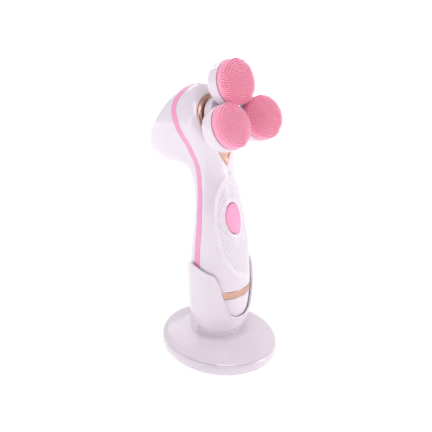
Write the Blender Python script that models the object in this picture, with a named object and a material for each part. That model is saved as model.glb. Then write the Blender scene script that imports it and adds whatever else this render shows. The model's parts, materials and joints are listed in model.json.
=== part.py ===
"""Facial cleansing brush with three spinning heads, standing in its charging stand.

Metres, +Z up. The origin is the middle of the stand's underside, the brush faces -Y
and the object is symmetric about the plane X = 0.
"""
import math

import bmesh
import bpy
import numpy as np
from mathutils import Matrix, Vector
from mathutils.bvhtree import BVHTree

MM = 0.001
GAP = 0.3                     # clearance between neighbouring pieces, mm

# ---- driving dimensions, in millimetres and degrees -------------------------------------
FOOT_HALF_X = 40.3            # stand foot, an oval seen from above
FOOT_HALF_Y = 46.4
FOOT_GROOVE_Z = 7.4           # parting line between stand shell and bottom cover
FOOT_GROOVE_INSET = 1.5
CUP_JOINT_RADIUS = 15.7       # where the holder cup meets the foot
CUP_JOINT_Z = 14.3
CUP_WALL = 1.5
CUP_CLEARANCE = 0.4
CUP_FLOOR_Z = 17.7
CUP_FLOOR = 2.0
RIM_NOTCH_Z = 32.6            # lowest point of the cup's front notch
RIM_LIP_RISE = 4.0            # the rim climbs from the notch in three steps, then dips behind
RIM_SIDE_RISE = 32.0
RIM_BACK_RISE = 5.1
RIM_REAR_DIP = 18.0

HANDSET_FOOT_Z = 18.0
BAND_BOTTOM_Z = 49.4          # rose-gold band low on the handle
BAND_TOP_Z = 55.3
HOUSING_WALL = 2.0

FACE_TILT = 23.1              # the rotor looks forward and this much up
ROTOR_ORIGIN = (0.0, -18.55, 183.05)  # middle of the three brushes, on their rim plane
FACE_DEPTH = 21.0             # head's front face, behind the rim plane
BRUSH_RING = 17.4             # distance of each brush from the rotor axis
BRUSH_TILT = 6.0              # each brush leans in towards the rotor axis
BRUSH_ANGLES = {"top": 90.0, "left": 210.0, "right": 330.0}
PAD_RADIUS = 14.5
PAD_HEIGHT = 11.2             # rim plane to the tips of the nubs
CARRIER_FRONT = 12.9          # rotor carrier: depths behind the rim plane
CARRIER_ARM_BACK = 16.0
CARRIER_HUB_BACK = 19.6
CARRIER_WALL = 2.0
HUB_RADIUS = 13.6
ARM_HALF_WIDTH = 4.6
ARM_REACH = 23.6
BACK_PLATE = 0.7
SPINDLE_RADIUS = 1.5
SPINDLE_HEAD_RADIUS = 2.8
DRIVEN_GEAR_RADIUS = 8.5
PINION_RADIUS = 2.6

TRIM_RADIUS = 17.0            # round part of the teardrop trim
TRIM_DROP = 0.5               # its centre lies this much below the rotor axis
TRIM_TIP = 32.6               # tip, below the rotor axis
TRIM_HOLE = 12.2              # radius of its round opening, about the same centre
TRIM_THICKNESS = 1.1

BUTTON_Z = 107.2
BUTTON_HALF_WIDTH = 6.7
BUTTON_HALF_HEIGHT = 10.6
BUTTON_CLEARANCE = 0.4
BUTTON_LEAN = 14.1            # the front surface leans back by this much at the button

# Stations up the handset, foot to crown: front (y, z), rear (y, z), half width, the seam's
# place between front and rear, and squareness of the rear and front halves, where 2 is an
# ellipse. The sections fan out to follow the drooping head.
STATIONS = (
    ((-14.9, 18.0), (14.5, 18.0), 14.3, 0.50, 2.0, 2.0),
    ((-18.4, 22.0), (17.6, 22.0), 17.6, 0.51, 2.0, 2.0),
    ((-21.2, 30.0), (18.9, 30.0), 20.3, 0.53, 2.0, 2.0),
    ((-22.7, 40.0), (19.6, 40.0), 21.3, 0.54, 2.0, 2.0),
    ((-23.3, 57.0), (19.4, 57.0), 21.8, 0.55, 2.0, 2.0),
    ((-21.4, 80.4), (18.0, 80.4), 20.9, 0.565, 2.0, 2.0),
    ((-16.6, 100.5), (14.9, 100.5), 19.9, 0.53, 2.0, 2.0),
    ((-11.8, 119.3), (15.2, 119.3), 17.3, 0.485, 2.0, 2.0),
    ((-8.4, 136.0), (21.6, 133.7), 15.2, 0.407, 2.05, 2.05),
    ((-6.6, 148.8), (32.2, 137.9), 14.7, 0.348, 2.3, 2.4),
    ((-6.3, 158.5), (47.4, 136.9), 17.5, 0.269, 2.6, 3.2),
    ((-4.0, 165.3), (61.2, 143.0), 20.6, 0.218, 2.8, 4.2),
    ((-1.6, 170.9), (60.9, 154.1), 22.2, 0.254, 2.8, 4.6),
    ((1.2, 177.7), (55.1, 165.9), 23.0, 0.328, 2.8, 4.6),
    ((4.8, 186.1), (42.8, 181.5), 22.5, 0.506, 2.7, 4.4),
    ((8.9, 195.7), (33.9, 192.0), 20.8, 0.548, 2.6, 4.0),
)
# Width of the pink inlay between the two housings, at some of the stations.
STRIPE_STATIONS = (3.6, 5.0, 6.0, 7.0, 8.0, 10.0, 12.0, 15.0)
STRIPE_WIDTHS = (5.3, 4.8, 4.4, 4.0, 3.65, 3.65, 4.1, 4.3)
CROWN_START = 12              # the head closes over from this station on
CROWN_FRONT_SQUARENESS = 3.2
RING_POINTS = 24


# ---- materials ---------------------------------------------------------------------------
def material(name, colour, roughness, metallic=0.0):
    made = bpy.data.materials.new(name)
    made.use_nodes = True
    shader = made.node_tree.nodes["Principled BSDF"]
    shader.inputs["Base Color"].default_value = (*colour, 1.0)
    shader.inputs["Roughness"].default_value = roughness
    shader.inputs["Metallic"].default_value = metallic
    return made


for old in list(bpy.data.objects):
    bpy.data.objects.remove(old, do_unlink=True)

WHITE = material("gloss_white", (0.80, 0.75, 0.80), 0.2)
STRIPE_PINK = material("stripe_pink", (0.85, 0.40, 0.58), 0.3)
BUTTON_PINK = material("button_pink", (1.0, 0.38, 0.60), 0.35)
SILICONE = material("pink_silicone", (1.0, 0.27, 0.42), 0.45)
ROSE_GOLD = material("rose_gold", (0.72, 0.40, 0.28), 0.22, 1.0)
RUBBER = material("grey_rubber", (0.12, 0.12, 0.13), 0.8)
STEEL = material("steel", (0.55, 0.55, 0.56), 0.35, 1.0)
COPPER = material("copper", (0.70, 0.32, 0.18), 0.35, 1.0)
FERRITE = material("ferrite", (0.07, 0.07, 0.08), 0.7)
BOARD = material("circuit_board", (0.03, 0.20, 0.08), 0.5)
CELL = material("battery_wrap", (0.10, 0.25, 0.60), 0.4)
ACETAL = material("acetal", (0.75, 0.74, 0.70), 0.4)
BRONZE = material("bronze", (0.55, 0.35, 0.15), 0.4, 1.0)
BLACK = material("black_plastic", (0.03, 0.03, 0.03), 0.4)


# ---- mesh helpers ------------------------------------------------------------------------
MERGE_DISTANCE = 2e-6


def add_mesh(name, points_mm, faces, look, frame=None):
    """One closed body from points in millimetres, placed in its own frame."""
    mesh = bpy.data.meshes.new(name)
    mesh.from_pydata([tuple(c * MM for c in p) for p in points_mm], [], faces)
    work = bmesh.new()
    work.from_mesh(mesh)
    bmesh.ops.remove_doubles(work, verts=work.verts, dist=MERGE_DISTANCE)
    bmesh.ops.recalc_face_normals(work, faces=work.faces)
    work.to_mesh(mesh)
    work.free()
    mesh.shade_smooth()
    mesh.set_sharp_from_angle(angle=math.radians(35))
    made = bpy.data.objects.new(name, mesh)
    bpy.context.scene.collection.objects.link(made)
    made.data.materials.append(look)
    if frame is not None:
        made.matrix_world = frame
    return made


def ring_faces(rings, count, wrap=False):
    """Quads between consecutive rings, each of count points."""
    faces = []
    last = rings if wrap else rings - 1
    for i in range(last):
        a = i * count
        b = ((i + 1) % rings) * count
        for j in range(count):
            k = (j + 1) % count
            faces.append((a + j, a + k, b + k, b + j))
    return faces


def loft(name, rings, look, frame=None, wrap=False):
    """Closed body through rings of equal length, capped at both ends or wrapped round."""
    count = len(rings[0])
    points = [tuple(p) for ring in rings for p in ring]
    faces = ring_faces(len(rings), count, wrap)
    if not wrap:
        faces.append(tuple(range(count))[::-1])
        base = (len(rings) - 1) * count
        faces.append(tuple(range(base, base + count)))
    return add_mesh(name, points, faces, look, frame)


def turned(name, profile, look, frame, segments=16):
    """Body of revolution about the frame's Z; profile of (radius, height), closed."""
    rings = []
    for radius, height in profile:
        ring = []
        for j in range(segments):
            angle = 2 * math.pi * j / segments
            ring.append((radius * math.cos(angle), radius * math.sin(angle), height))
        rings.append(ring)
    on_axis = profile[0][0] == 0.0
    if on_axis:
        return solid_spindle(name, rings, look, frame)
    return loft(name, rings, look, frame, wrap=True)


def solid_spindle(name, rings, look, frame):
    """Body of revolution whose first and last rings have shrunk to the axis."""
    count = len(rings[0])
    inner = rings[1:-1]
    points = [rings[0][0]] + [p for ring in inner for p in ring] + [rings[-1][0]]
    faces = []
    for a, b, c, d in ring_faces(len(inner), count):
        faces.append((a + 1, b + 1, c + 1, d + 1))
    end = len(points) - 1
    last = 1 + (len(inner) - 1) * count
    for j in range(count):
        k = (j + 1) % count
        faces.append((0, 1 + k, 1 + j))
        faces.append((end, last + j, last + k))
    return add_mesh(name, points, faces, look, frame)


def prism(name, outline, low, high, look, frame=None):
    """Outline of (x, y) pairs raised from low to high along the frame's Z."""
    rings = [[(x, y, low) for x, y in outline], [(x, y, high) for x, y in outline]]
    return loft(name, rings, look, frame)


def box(name, low, high, look, frame=None):
    outline = [(low[0], low[1]), (high[0], low[1]), (high[0], high[1]), (low[0], high[1])]
    return prism(name, outline, low[2], high[2], look, frame)


def oval(half_x, half_y, count=32, centre=(0.0, 0.0)):
    turn = [2 * math.pi * j / count for j in range(count)]
    return [(centre[0] + half_x * math.cos(a), centre[1] + half_y * math.sin(a)) for a in turn]


def gear_outline(tip_radius, tooth_depth, teeth):
    """Trapezoid teeth, four points each."""
    points = []
    for i in range(teeth):
        for part, radius in ((-0.32, -1), (-0.16, 0), (0.16, 0), (0.32, -1)):
            angle = 2 * math.pi * (i + part) / teeth
            reach = tip_radius + radius * tooth_depth
            points.append((reach * math.cos(angle), reach * math.sin(angle)))
    return points


def apply_boolean(target, cutter, operation):
    """Cut or join now, with the exact solver, and drop the cutter."""
    step = target.modifiers.new("step", "BOOLEAN")
    step.operation = operation
    step.solver = "EXACT"
    step.object = cutter
    bpy.context.view_layer.update()
    graph = bpy.context.evaluated_depsgraph_get()
    mesh = bpy.data.meshes.new_from_object(target.evaluated_get(graph))
    work = bmesh.new()
    work.from_mesh(mesh)
    bmesh.ops.remove_doubles(work, verts=work.verts, dist=MERGE_DISTANCE)
    bmesh.ops.dissolve_degenerate(work, edges=work.edges, dist=MERGE_DISTANCE)
    work.to_mesh(mesh)
    work.free()
    target.modifiers.clear()
    target.data = mesh
    bpy.data.objects.remove(cutter, do_unlink=True)
    mesh.shade_smooth()
    mesh.set_sharp_from_angle(angle=math.radians(35))


def frame_at(origin_mm, z_axis, x_axis=(1.0, 0.0, 0.0)):
    z = Vector(z_axis).normalized()
    x = Vector(x_axis)
    x = (x - z * x.dot(z)).normalized()
    y = z.cross(x)
    turn = Matrix((x, y, z)).transposed().to_4x4()
    return Matrix.Translation(Vector(origin_mm) * MM) @ turn


def joint_frame(name, frame):
    """Empty on a joint's axis, which the moving pieces hang from."""
    empty = bpy.data.objects.new(name, None)
    empty.matrix_world = frame
    bpy.context.scene.collection.objects.link(empty)
    return empty


def hang(pieces, empty):
    bpy.context.view_layer.update()
    for piece in pieces:
        world = piece.matrix_world.copy()
        piece.parent = empty
        piece.matrix_parent_inverse = empty.matrix_world.inverted()
        piece.matrix_world = world


# ---- the handset's outer surface -----------------------------------------------------------
def spline_through(values):
    """Natural cubic spline through values at 0, 1, 2 and so on, as a function."""
    rows = np.asarray(values, float)
    if rows.ndim == 1:
        rows = rows[:, None]
    n = len(rows)
    system = np.eye(n)
    right = np.zeros_like(rows)
    for i in range(1, n - 1):
        system[i, i - 1:i + 2] = (1.0, 4.0, 1.0)
        right[i] = 6.0 * (rows[i + 1] - 2.0 * rows[i] + rows[i - 1])
    bend = np.linalg.solve(system, right)

    def at(u):
        i = min(int(u), n - 2)
        b = u - i
        a = 1.0 - b
        lean = ((a ** 3 - a) * bend[i] + (b ** 3 - b) * bend[i + 1]) / 6.0
        return a * rows[i] + b * rows[i + 1] + lean
    return at


FRONT_AT = spline_through([s[0] for s in STATIONS])
REAR_AT = spline_through([s[1] for s in STATIONS])
WIDTH_AT = spline_through([s[2] for s in STATIONS])
SEAM_AT = spline_through([s[3] for s in STATIONS])
REAR_SQUARENESS_AT = spline_through([s[4] for s in STATIONS])
FRONT_SQUARENESS_AT = spline_through([s[5] for s in STATIONS])
LAST_STATION = len(STATIONS) - 1
FACE_NORMAL = Vector((0.0, -math.cos(math.radians(FACE_TILT)), math.sin(math.radians(FACE_TILT))))
FACE_UP = Vector((0.0, math.sin(math.radians(FACE_TILT)), math.cos(math.radians(FACE_TILT))))
FACE_SOFTNESS = 0.5


def closing(u, squareness=2.0):
    """1 up to the crown, then falls to 0 as the head closes over."""
    reach = max(0.0, (u - CROWN_START) / (LAST_STATION - CROWN_START))
    return max(0.0, 1.0 - reach ** squareness) ** (1.0 / squareness)


def section(u):
    """Front, seam and rear points (y, z) and half width of one section."""
    front = FRONT_AT(u)
    rear = REAR_AT(u)
    seam = front + (rear - front) * SEAM_AT(u)[0]
    shrink = closing(u)
    front = seam + (front - seam) * closing(u, CROWN_FRONT_SQUARENESS)
    return front, seam, seam + (rear - seam) * shrink, WIDTH_AT(u)[0] * shrink


def behind_face(point, depth):
    """Push a point back, softly, so that it stays behind the head's flat front face."""
    offset = Vector(point) - Vector(ROTOR_ORIGIN)
    back = -offset.dot(FACE_NORMAL)
    excess = (back - depth) / FACE_SOFTNESS
    if excess > 30.0:
        return tuple(point)
    pushed = depth + FACE_SOFTNESS * math.log1p(math.exp(excess))
    return tuple(Vector(point) - FACE_NORMAL * (pushed - back))


def squared(value, squareness):
    return math.copysign(abs(value) ** (2.0 / squareness), value)


def handset_ring(u, face_depth=FACE_DEPTH):
    front, seam, rear, width = section(u)
    ring = []
    for j in range(RING_POINTS):
        angle = 2 * math.pi * (j + 0.5) / RING_POINTS
        in_front = math.sin(angle) < 0
        squareness = (FRONT_SQUARENESS_AT if in_front else REAR_SQUARENESS_AT)(u)[0]
        side = squared(math.sin(angle), squareness)
        half = (seam - front) if side < 0 else (rear - seam)
        y, z = seam + half * side
        ring.append(behind_face((width * squared(math.cos(angle), squareness), y, z), face_depth))
    return ring


def station_of_height(z):
    """Section whose height is z, on the straight handle."""
    low, high = 0.0, 7.0
    for _ in range(40):
        middle = (low + high) / 2
        if FRONT_AT(middle)[1] < z:
            low = middle
        else:
            high = middle
    return low


def shrunk(ring, wall):
    """A handle ring moved inward by the wall thickness."""
    middle = sum((Vector(p) for p in ring), Vector()) / len(ring)
    moved = []
    for point in ring:
        away = Vector(point) - middle
        moved.append(tuple(middle + away * (1.0 - wall / away.length)))
    return moved


def handset_skin(first, face_depth, inset, rows):
    """Rings of the handset's surface from one station to the crown, moved in by inset."""
    close_to = 0.7 if inset else 0.97
    crown = [CROWN_START + (LAST_STATION - CROWN_START) * math.sin(a * math.pi / 2)
             for a in np.linspace(0.0, close_to, 6)]
    stations = list(np.linspace(first, CROWN_START, rows))[:-1] + crown
    rings = [handset_ring(u, face_depth) for u in stations]
    if inset:
        rings = inset_rings(rings, inset)
    return rings


def inset_rings(rings, inset):
    """Move a grid of rings inward along its own normals."""
    grid = np.array(rings)
    along = np.gradient(grid, axis=0)
    around = np.roll(grid, -1, axis=1) - np.roll(grid, 1, axis=1)
    normal = np.cross(around, along)
    normal /= np.linalg.norm(normal, axis=2, keepdims=True)
    return (grid - normal * inset).tolist()


def seam_line():
    """The parting line on the plane of symmetry, run on past both ends, and its half widths."""
    stations = np.linspace(station_of_height(BAND_TOP_Z) - 0.4, LAST_STATION, 40)
    line = [Vector(section(u)[1]) for u in stations]
    line.insert(0, line[0] + (line[0] - line[1]).normalized() * 20.0)
    line.append(line[-1] + (line[-1] - line[-2]).normalized() * 30.0)
    widths = np.interp(stations, STRIPE_STATIONS, STRIPE_WIDTHS)
    return line, np.concatenate([widths[:1], widths, widths[-1:]]) / 2


def offset_line(line, shifts):
    """Move a (y, z) line sideways, point by point: plus is to the rear."""
    moved = []
    for i, point in enumerate(line):
        ahead = line[min(i + 1, len(line) - 1)] - line[max(i - 1, 0)]
        ahead.normalize()
        moved.append(point + Vector((ahead[1], -ahead[0])) * float(shifts[i]))
    return moved


SIDE_FRAME = Matrix(((0, 0, 1, 0), (1, 0, 0, 0), (0, 1, 0, 0), (0, 0, 0, 1)))
SIDE_REACH = 60.0             # cutters reach past the handset by these
CUT_FRONT_Y = -120.0
CUT_REAR_Y = 160.0


def side_prism(name, outline_yz):
    """Cutter with a (y, z) outline, running across the whole width."""
    return prism(name, outline_yz, -SIDE_REACH, SIDE_REACH, WHITE, SIDE_FRAME)


FACE_FRAME = frame_at(ROTOR_ORIGIN, FACE_NORMAL)
PRESS_AXIS = Vector((0.0, math.cos(math.radians(BUTTON_LEAN)), -math.sin(math.radians(BUTTON_LEAN))))


# ---- charging stand ------------------------------------------------------------------------
STAND_POINTS = 32


def foot_ring(inset, z):
    turn = [2 * math.pi * j / STAND_POINTS for j in range(STAND_POINTS)]
    return [((FOOT_HALF_X - inset) * math.cos(a), (FOOT_HALF_Y - inset) * math.sin(a), z)
            for a in turn]


def dome_ring(reach, z):
    """Ring between the cup joint, reach 0, and the shell's lower edge, reach 1."""
    ring = []
    for x, y, _ in foot_ring(FOOT_GROOVE_INSET, 0.0):
        radius = math.hypot(x, y)
        scale = (CUP_JOINT_RADIUS + (radius - CUP_JOINT_RADIUS) * reach) / radius
        ring.append((x * scale, y * scale, z))
    return ring


def smooth_step(value, low, high):
    t = min(1.0, max(0.0, (value - low) / (high - low)))
    return t * t * (3.0 - 2.0 * t)


def rim_height(angle):
    """Height of the cup's rim; the angle is counted from +X, the notch is at -Y."""
    from_front = abs((math.degrees(angle) + 90.0 + 180.0) % 360.0 - 180.0)
    rise = RIM_LIP_RISE * smooth_step(from_front, 8.0, 34.0)
    rise += RIM_SIDE_RISE * smooth_step(from_front, 24.0, 58.0)
    rise += RIM_BACK_RISE * smooth_step(from_front, 55.0, 100.0)
    rise -= RIM_REAR_DIP * smooth_step(from_front, 103.0, 160.0)
    return RIM_NOTCH_Z + rise


REACH_HEIGHTS = np.linspace(HANDSET_FOOT_Z, 80.0, 63)
HANDLE_ROWS = [section(station_of_height(z)) for z in REACH_HEIGHTS]
FRONT_REACH = np.minimum.accumulate([row[0][0] for row in HANDLE_ROWS])
REAR_REACH = np.maximum.accumulate([row[2][0] for row in HANDLE_ROWS])
WIDTH_REACH = np.maximum.accumulate([row[3] for row in HANDLE_ROWS])
SEAM_PLACE = [row[1][0] for row in HANDLE_ROWS]


def cup_point(angle, z, margin):
    """Point of the cup's wall, a margin outside all of the handle that slides past it."""
    front, rear, width, seam = (float(np.interp(z, REACH_HEIGHTS, reach)) for reach in
                                (FRONT_REACH, REAR_REACH, WIDTH_REACH, SEAM_PLACE))
    side = math.sin(angle)
    half = (seam - front) if side < 0 else (rear - seam)
    return ((width + margin) * math.cos(angle), seam + (half + margin) * side, z)


def cup_ring(share, margin, lift=0.0):
    """Ring at a share of the way from the cup's bowl up to its rim."""
    ring = []
    for j in range(STAND_POINTS):
        angle = 2 * math.pi * j / STAND_POINTS
        z = BOWL_HEIGHTS[-1] + (rim_height(angle) - BOWL_HEIGHTS[-1]) * share + lift
        ring.append(cup_point(angle, z, margin))
    return ring


def bowl_ring(z, margin):
    turn = [2 * math.pi * j / STAND_POINTS for j in range(STAND_POINTS)]
    return [cup_point(a, z, margin) for a in turn]


def disc_ring(radius, z):
    turn = [2 * math.pi * j / STAND_POINTS for j in range(STAND_POINTS)]
    return [(radius * math.cos(a), radius * math.sin(a), z) for a in turn]


CUP_OUT = CUP_CLEARANCE + CUP_WALL
RIM_ROUND = 0.6
BOWL_HEIGHTS = (18.0, 20.0, 23.0, 28.0)
WALL_SHARES = (0.12, 0.3, 0.62, 0.96)
SHELL_FOOT_Z = FOOT_GROOVE_Z + GAP / 2
DOME = ((1.0, SHELL_FOOT_Z + 0.3), (0.95, 8.6), (0.84, 9.7), (0.68, 10.9), (0.5, 12.0),
        (0.32, 12.7), (0.18, 13.4), (0.07, 13.5))
UNDER_DOME = ((0.1, 11.6), (0.42, 10.3), (0.68, 8.9), (0.84, 8.0))
BOSS_PLACES = [(x, y) for x in (-26.0, 26.0) for y in (-20.0, 20.0)]
FOOT_PLACES = [(x, y) for x in (-17.0, 17.0) for y in (-31.0, 31.0)]

# Profiles of (radius, height) for the round pieces of the stand.
BOSS_PROFILE = ((1.5, 3.4), (3.0, 3.4), (3.0, 9.2), (1.5, 9.2))
FOOT_POCKET_PROFILE = ((0.0, -2.0), (4.3, -2.0), (4.3, 1.2), (0.0, 1.2))
SCREW_HOLE_PROFILE = ((0.0, -2.0), (3.0, -2.0), (3.0, 1.4), (1.6, 1.4), (1.6, 4.0), (0.0, 4.0))
SCREW_PROFILE = ((0.0, 0.5), (2.6, 0.5), (2.6, 1.1), (1.2, 1.1), (1.2, 7.6), (0.0, 7.6))
RUBBER_FOOT_PROFILE = ((0.0, 0.0), (3.7, 0.0), (4.0, 0.3), (4.0, 0.9), (0.0, 0.9))
CHARGER_COIL_PROFILE = ((5.5, 12.9), (12.3, 12.9), (12.3, 15.3), (5.5, 15.3))
FERRITE_PROFILE = ((0.0, 10.8), (12.8, 10.8), (12.8, 12.3), (0.0, 12.3))


def upright_frame(x, y):
    return Matrix.Translation(Vector((x, y, 0.0)) * MM)


def make_stand_shell():
    under = CUP_FLOOR_Z - CUP_FLOOR
    rings = [disc_ring(5.0, under), disc_ring(13.6, under), disc_ring(14.4, under - 2.4)]
    rings += [dome_ring(reach, z) for reach, z in UNDER_DOME]
    rings.append(foot_ring(FOOT_GROOVE_INSET + 2.6, SHELL_FOOT_Z))
    rings.append(foot_ring(FOOT_GROOVE_INSET + 0.2, SHELL_FOOT_Z))
    rings += [dome_ring(reach, z) for reach, z in DOME]
    rings.append(disc_ring(CUP_JOINT_RADIUS, CUP_JOINT_Z))
    rings += [bowl_ring(z, CUP_OUT) for z in BOWL_HEIGHTS]
    rings += [cup_ring(share, CUP_OUT) for share in WALL_SHARES]
    rings.append(cup_ring(1.0, CUP_CLEARANCE + CUP_WALL / 2, RIM_ROUND))
    rings += [cup_ring(share, CUP_CLEARANCE) for share in WALL_SHARES[::-1]]
    rings += [bowl_ring(z, CUP_CLEARANCE) for z in BOWL_HEIGHTS[::-1]]
    rings.append(disc_ring(14.0, CUP_FLOOR_Z))
    rings.append(disc_ring(5.0, CUP_FLOOR_Z))
    shell = loft("stand_shell", rings, WHITE)
    for x, y in BOSS_PLACES:
        boss = turned("boss", BOSS_PROFILE, WHITE, upright_frame(x, y))
        apply_boolean(shell, boss, "UNION")
    return shell


def make_bottom_cover():
    rings = [disc_ring(8.0, 0.0), foot_ring(3.2, 0.0), foot_ring(0.9, 0.6), foot_ring(0.0, 1.8),
             foot_ring(FOOT_GROOVE_INSET - 0.1, FOOT_GROOVE_Z - GAP / 2),
             foot_ring(FOOT_GROOVE_INSET + 2.2, FOOT_GROOVE_Z - GAP / 2),
             foot_ring(FOOT_GROOVE_INSET + 1.4, 2.2), disc_ring(8.0, 2.2)]
    cover = loft("stand_bottom_cover", rings, WHITE)
    for x, y in FOOT_PLACES:
        pocket = turned("pocket", FOOT_POCKET_PROFILE, WHITE, upright_frame(x, y))
        apply_boolean(cover, pocket, "DIFFERENCE")
    for x, y in BOSS_PLACES:
        hole = turned("hole", SCREW_HOLE_PROFILE, WHITE, upright_frame(x, y))
        apply_boolean(cover, hole, "DIFFERENCE")
    slot = box("slot", (-4.6, 36.0, 2.9), (4.6, 50.0, 6.6), WHITE)
    apply_boolean(cover, slot, "DIFFERENCE")
    return cover


def make_stand_parts():
    made = [make_stand_shell(), make_bottom_cover()]
    for number, (x, y) in enumerate(FOOT_PLACES, 1):
        frame = upright_frame(x, y)
        made.append(turned(f"rubber_foot_{number}", RUBBER_FOOT_PROFILE, RUBBER, frame, 14))
    made.append(prism("ballast_plate", oval(24.0, 34.0), 2.5, 4.3, STEEL))
    middle = upright_frame(0.0, 0.0)
    made.append(turned("charger_coil", CHARGER_COIL_PROFILE, COPPER, middle))
    made.append(turned("charger_ferrite", FERRITE_PROFILE, FERRITE, middle))
    made.append(box("charger_board", (-13.0, 12.0, 5.2), (13.0, 34.0, 6.4), BOARD))
    inlet = box("power_inlet", (-4.2, 36.4, 3.2), (4.2, 44.4, 6.3), BLACK)
    socket = box("socket", (-3.3, 38.6, 3.9), (3.3, 50.0, 5.6), BLACK)
    apply_boolean(inlet, socket, "DIFFERENCE")
    made.append(inlet)
    made += make_stand_screws()
    return made


def make_stand_screws():
    made = []
    for number, (x, y) in enumerate(BOSS_PLACES, 1):
        frame = upright_frame(x, y)
        made.append(turned(f"stand_screw_{number}", SCREW_PROFILE, STEEL, frame, 12))
    return made


# ---- handset shells ------------------------------------------------------------------------
def make_handset_shell(name):
    """The whole hollow skin, open at its foot, before it is parted."""
    first = station_of_height(BAND_TOP_Z + GAP)
    outer = handset_skin(first, FACE_DEPTH, 0.0, 20)
    inner = handset_skin(first, FACE_DEPTH + HOUSING_WALL, HOUSING_WALL, 12)
    return loft(name, outer[::-1] + inner, WHITE)


def front_region(line, shifts):
    edge = [tuple(p) for p in offset_line(line, shifts)]
    return edge + [(CUT_FRONT_Y, edge[-1][1]), (CUT_FRONT_Y, edge[0][1])]


def rear_region(line, shifts):
    edge = [tuple(p) for p in offset_line(line, shifts)]
    return edge + [(CUT_REAR_Y, edge[-1][1]), (CUT_REAR_Y, edge[0][1])]


def make_housings():
    line, half = seam_line()
    front = make_handset_shell("front_housing")
    apply_boolean(front, side_prism("cut", front_region(line, -half - GAP / 2)), "INTERSECT")
    rear = make_handset_shell("rear_housing")
    apply_boolean(rear, side_prism("cut", rear_region(line, half + GAP / 2)), "INTERSECT")
    stripe = make_handset_shell("seam_band")
    left = [tuple(p) for p in offset_line(line, -half + GAP / 2)]
    right = [tuple(p) for p in offset_line(line, half - GAP / 2)]
    apply_boolean(stripe, side_prism("cut", left + right[::-1]), "INTERSECT")
    stripe.data.materials.clear()
    stripe.data.materials.append(STRIPE_PINK)
    return front, rear, stripe


def handle_tube(name, low, high, outset, wall, look, floor=None):
    """Ring or pot with the handle's outline, between two heights."""
    heights = [z for z in (low, *BOWL_HEIGHTS, 34.0, 42.0, high) if low <= z <= high]
    heights = sorted(set(heights))
    outer = [shrunk(handset_ring(station_of_height(z)), -outset) for z in heights]
    if floor is None:
        inner = [shrunk(ring, wall + outset) for ring in outer[::-1]]
        return loft(name, outer + inner, look, wrap=True)
    inner = []
    for z in np.linspace(high, low + floor, 4):
        inner.append(shrunk(handset_ring(station_of_height(z)), wall))
    return loft(name, outer + inner, look)


# ---- teardrop trim -------------------------------------------------------------------------
TRIM_POINTS = 32


def trim_loops(grow, hole_shrink):
    """Outer teardrop and inner round edge as (x, up) pairs, point for point."""
    radius = TRIM_RADIUS + grow
    tip = -TRIM_TIP - 1.6 * grow
    reach = -TRIM_DROP - tip
    lean = math.asin(radius / reach)
    outer = []
    inner = []
    for j in range(TRIM_POINTS):
        angle = -math.pi / 2 + 2 * math.pi * j / TRIM_POINTS
        from_tip = abs((angle + math.pi / 2 + math.pi) % (2 * math.pi) - math.pi)
        if from_tip < math.pi / 2 - lean:
            distance = radius / math.cos(math.pi / 2 - lean - from_tip)
        else:
            distance = radius
        outer.append((distance * math.cos(angle), -TRIM_DROP + distance * math.sin(angle)))
        hole = TRIM_HOLE - hole_shrink
        inner.append((hole * math.cos(angle), -TRIM_DROP + hole * math.sin(angle)))
    return outer, inner


def surface_depth(tree, x, up):
    """Depth of the handset's surface behind the rotor's rim plane."""
    start = Vector(ROTOR_ORIGIN) + Vector((x, 0.0, 0.0)) + FACE_UP * up + FACE_NORMAL * 20.0
    place = tree.ray_cast(start, -FACE_NORMAL)[0]
    return (start - place).dot(FACE_NORMAL) - 20.0


def trim_body(name, tree, grow, hole_shrink, rise, sink, look):
    outer, inner = trim_loops(grow, hole_shrink)
    shares = (0.0, 0.25, 0.5, 0.75, 1.0)
    top = []
    bottom = []
    for share in shares:
        high = []
        low = []
        for (ox, oy), (ix, iy) in zip(outer, inner):
            x = ix + (ox - ix) * share
            up = iy + (oy - iy) * share
            depth = surface_depth(tree, x, up)
            high.append((x, up, -depth + rise))
            low.append((x, up, -depth - sink))
        top.append(high)
        bottom.append(low)
    return loft(name, top + bottom[::-1], look, FACE_FRAME, wrap=True)


def skin_tree():
    rings = handset_skin(station_of_height(80.0), FACE_DEPTH, 0.0, 60)
    points = [Vector(p) for ring in rings for p in ring]
    return BVHTree.FromPolygons(points, ring_faces(len(rings), RING_POINTS))


# ---- handset -------------------------------------------------------------------------------
def face_cylinder(name, radius, front, back, look=WHITE, segments=16):
    profile = ((0.0, -back), (radius, -back), (radius, -front), (0.0, -front))
    return turned(name, profile, look, FACE_FRAME, segments)


def face_tube(name, inner, outer, front, back, look):
    profile = ((inner, -back), (outer, -back), (outer, -front), (inner, -front))
    return turned(name, profile, look, FACE_FRAME)


def button_frame():
    front = FRONT_AT(station_of_height(BUTTON_Z))
    return frame_at((0.0, front[0], front[1]), -PRESS_AXIS)


SHAFT_RADIUS = 2.5
BUSH_OUTER = 4.6
GEAR_FRONT = 36.0
GEAR_BACK = 39.0
MOTOR_FRONT = 44.0
MOTOR_BACK = 62.0
MOTOR_RADIUS = 7.5
MOTOR_DROP = DRIVEN_GEAR_RADIUS + PINION_RADIUS + GAP
BATTERY_RADIUS = 7.0
BATTERY_BOTTOM_Z = 58.5
BATTERY_TOP_Z = 107.0
HOLDER_INNER = 7.4
HOLDER_OUTER = 8.6


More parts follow.
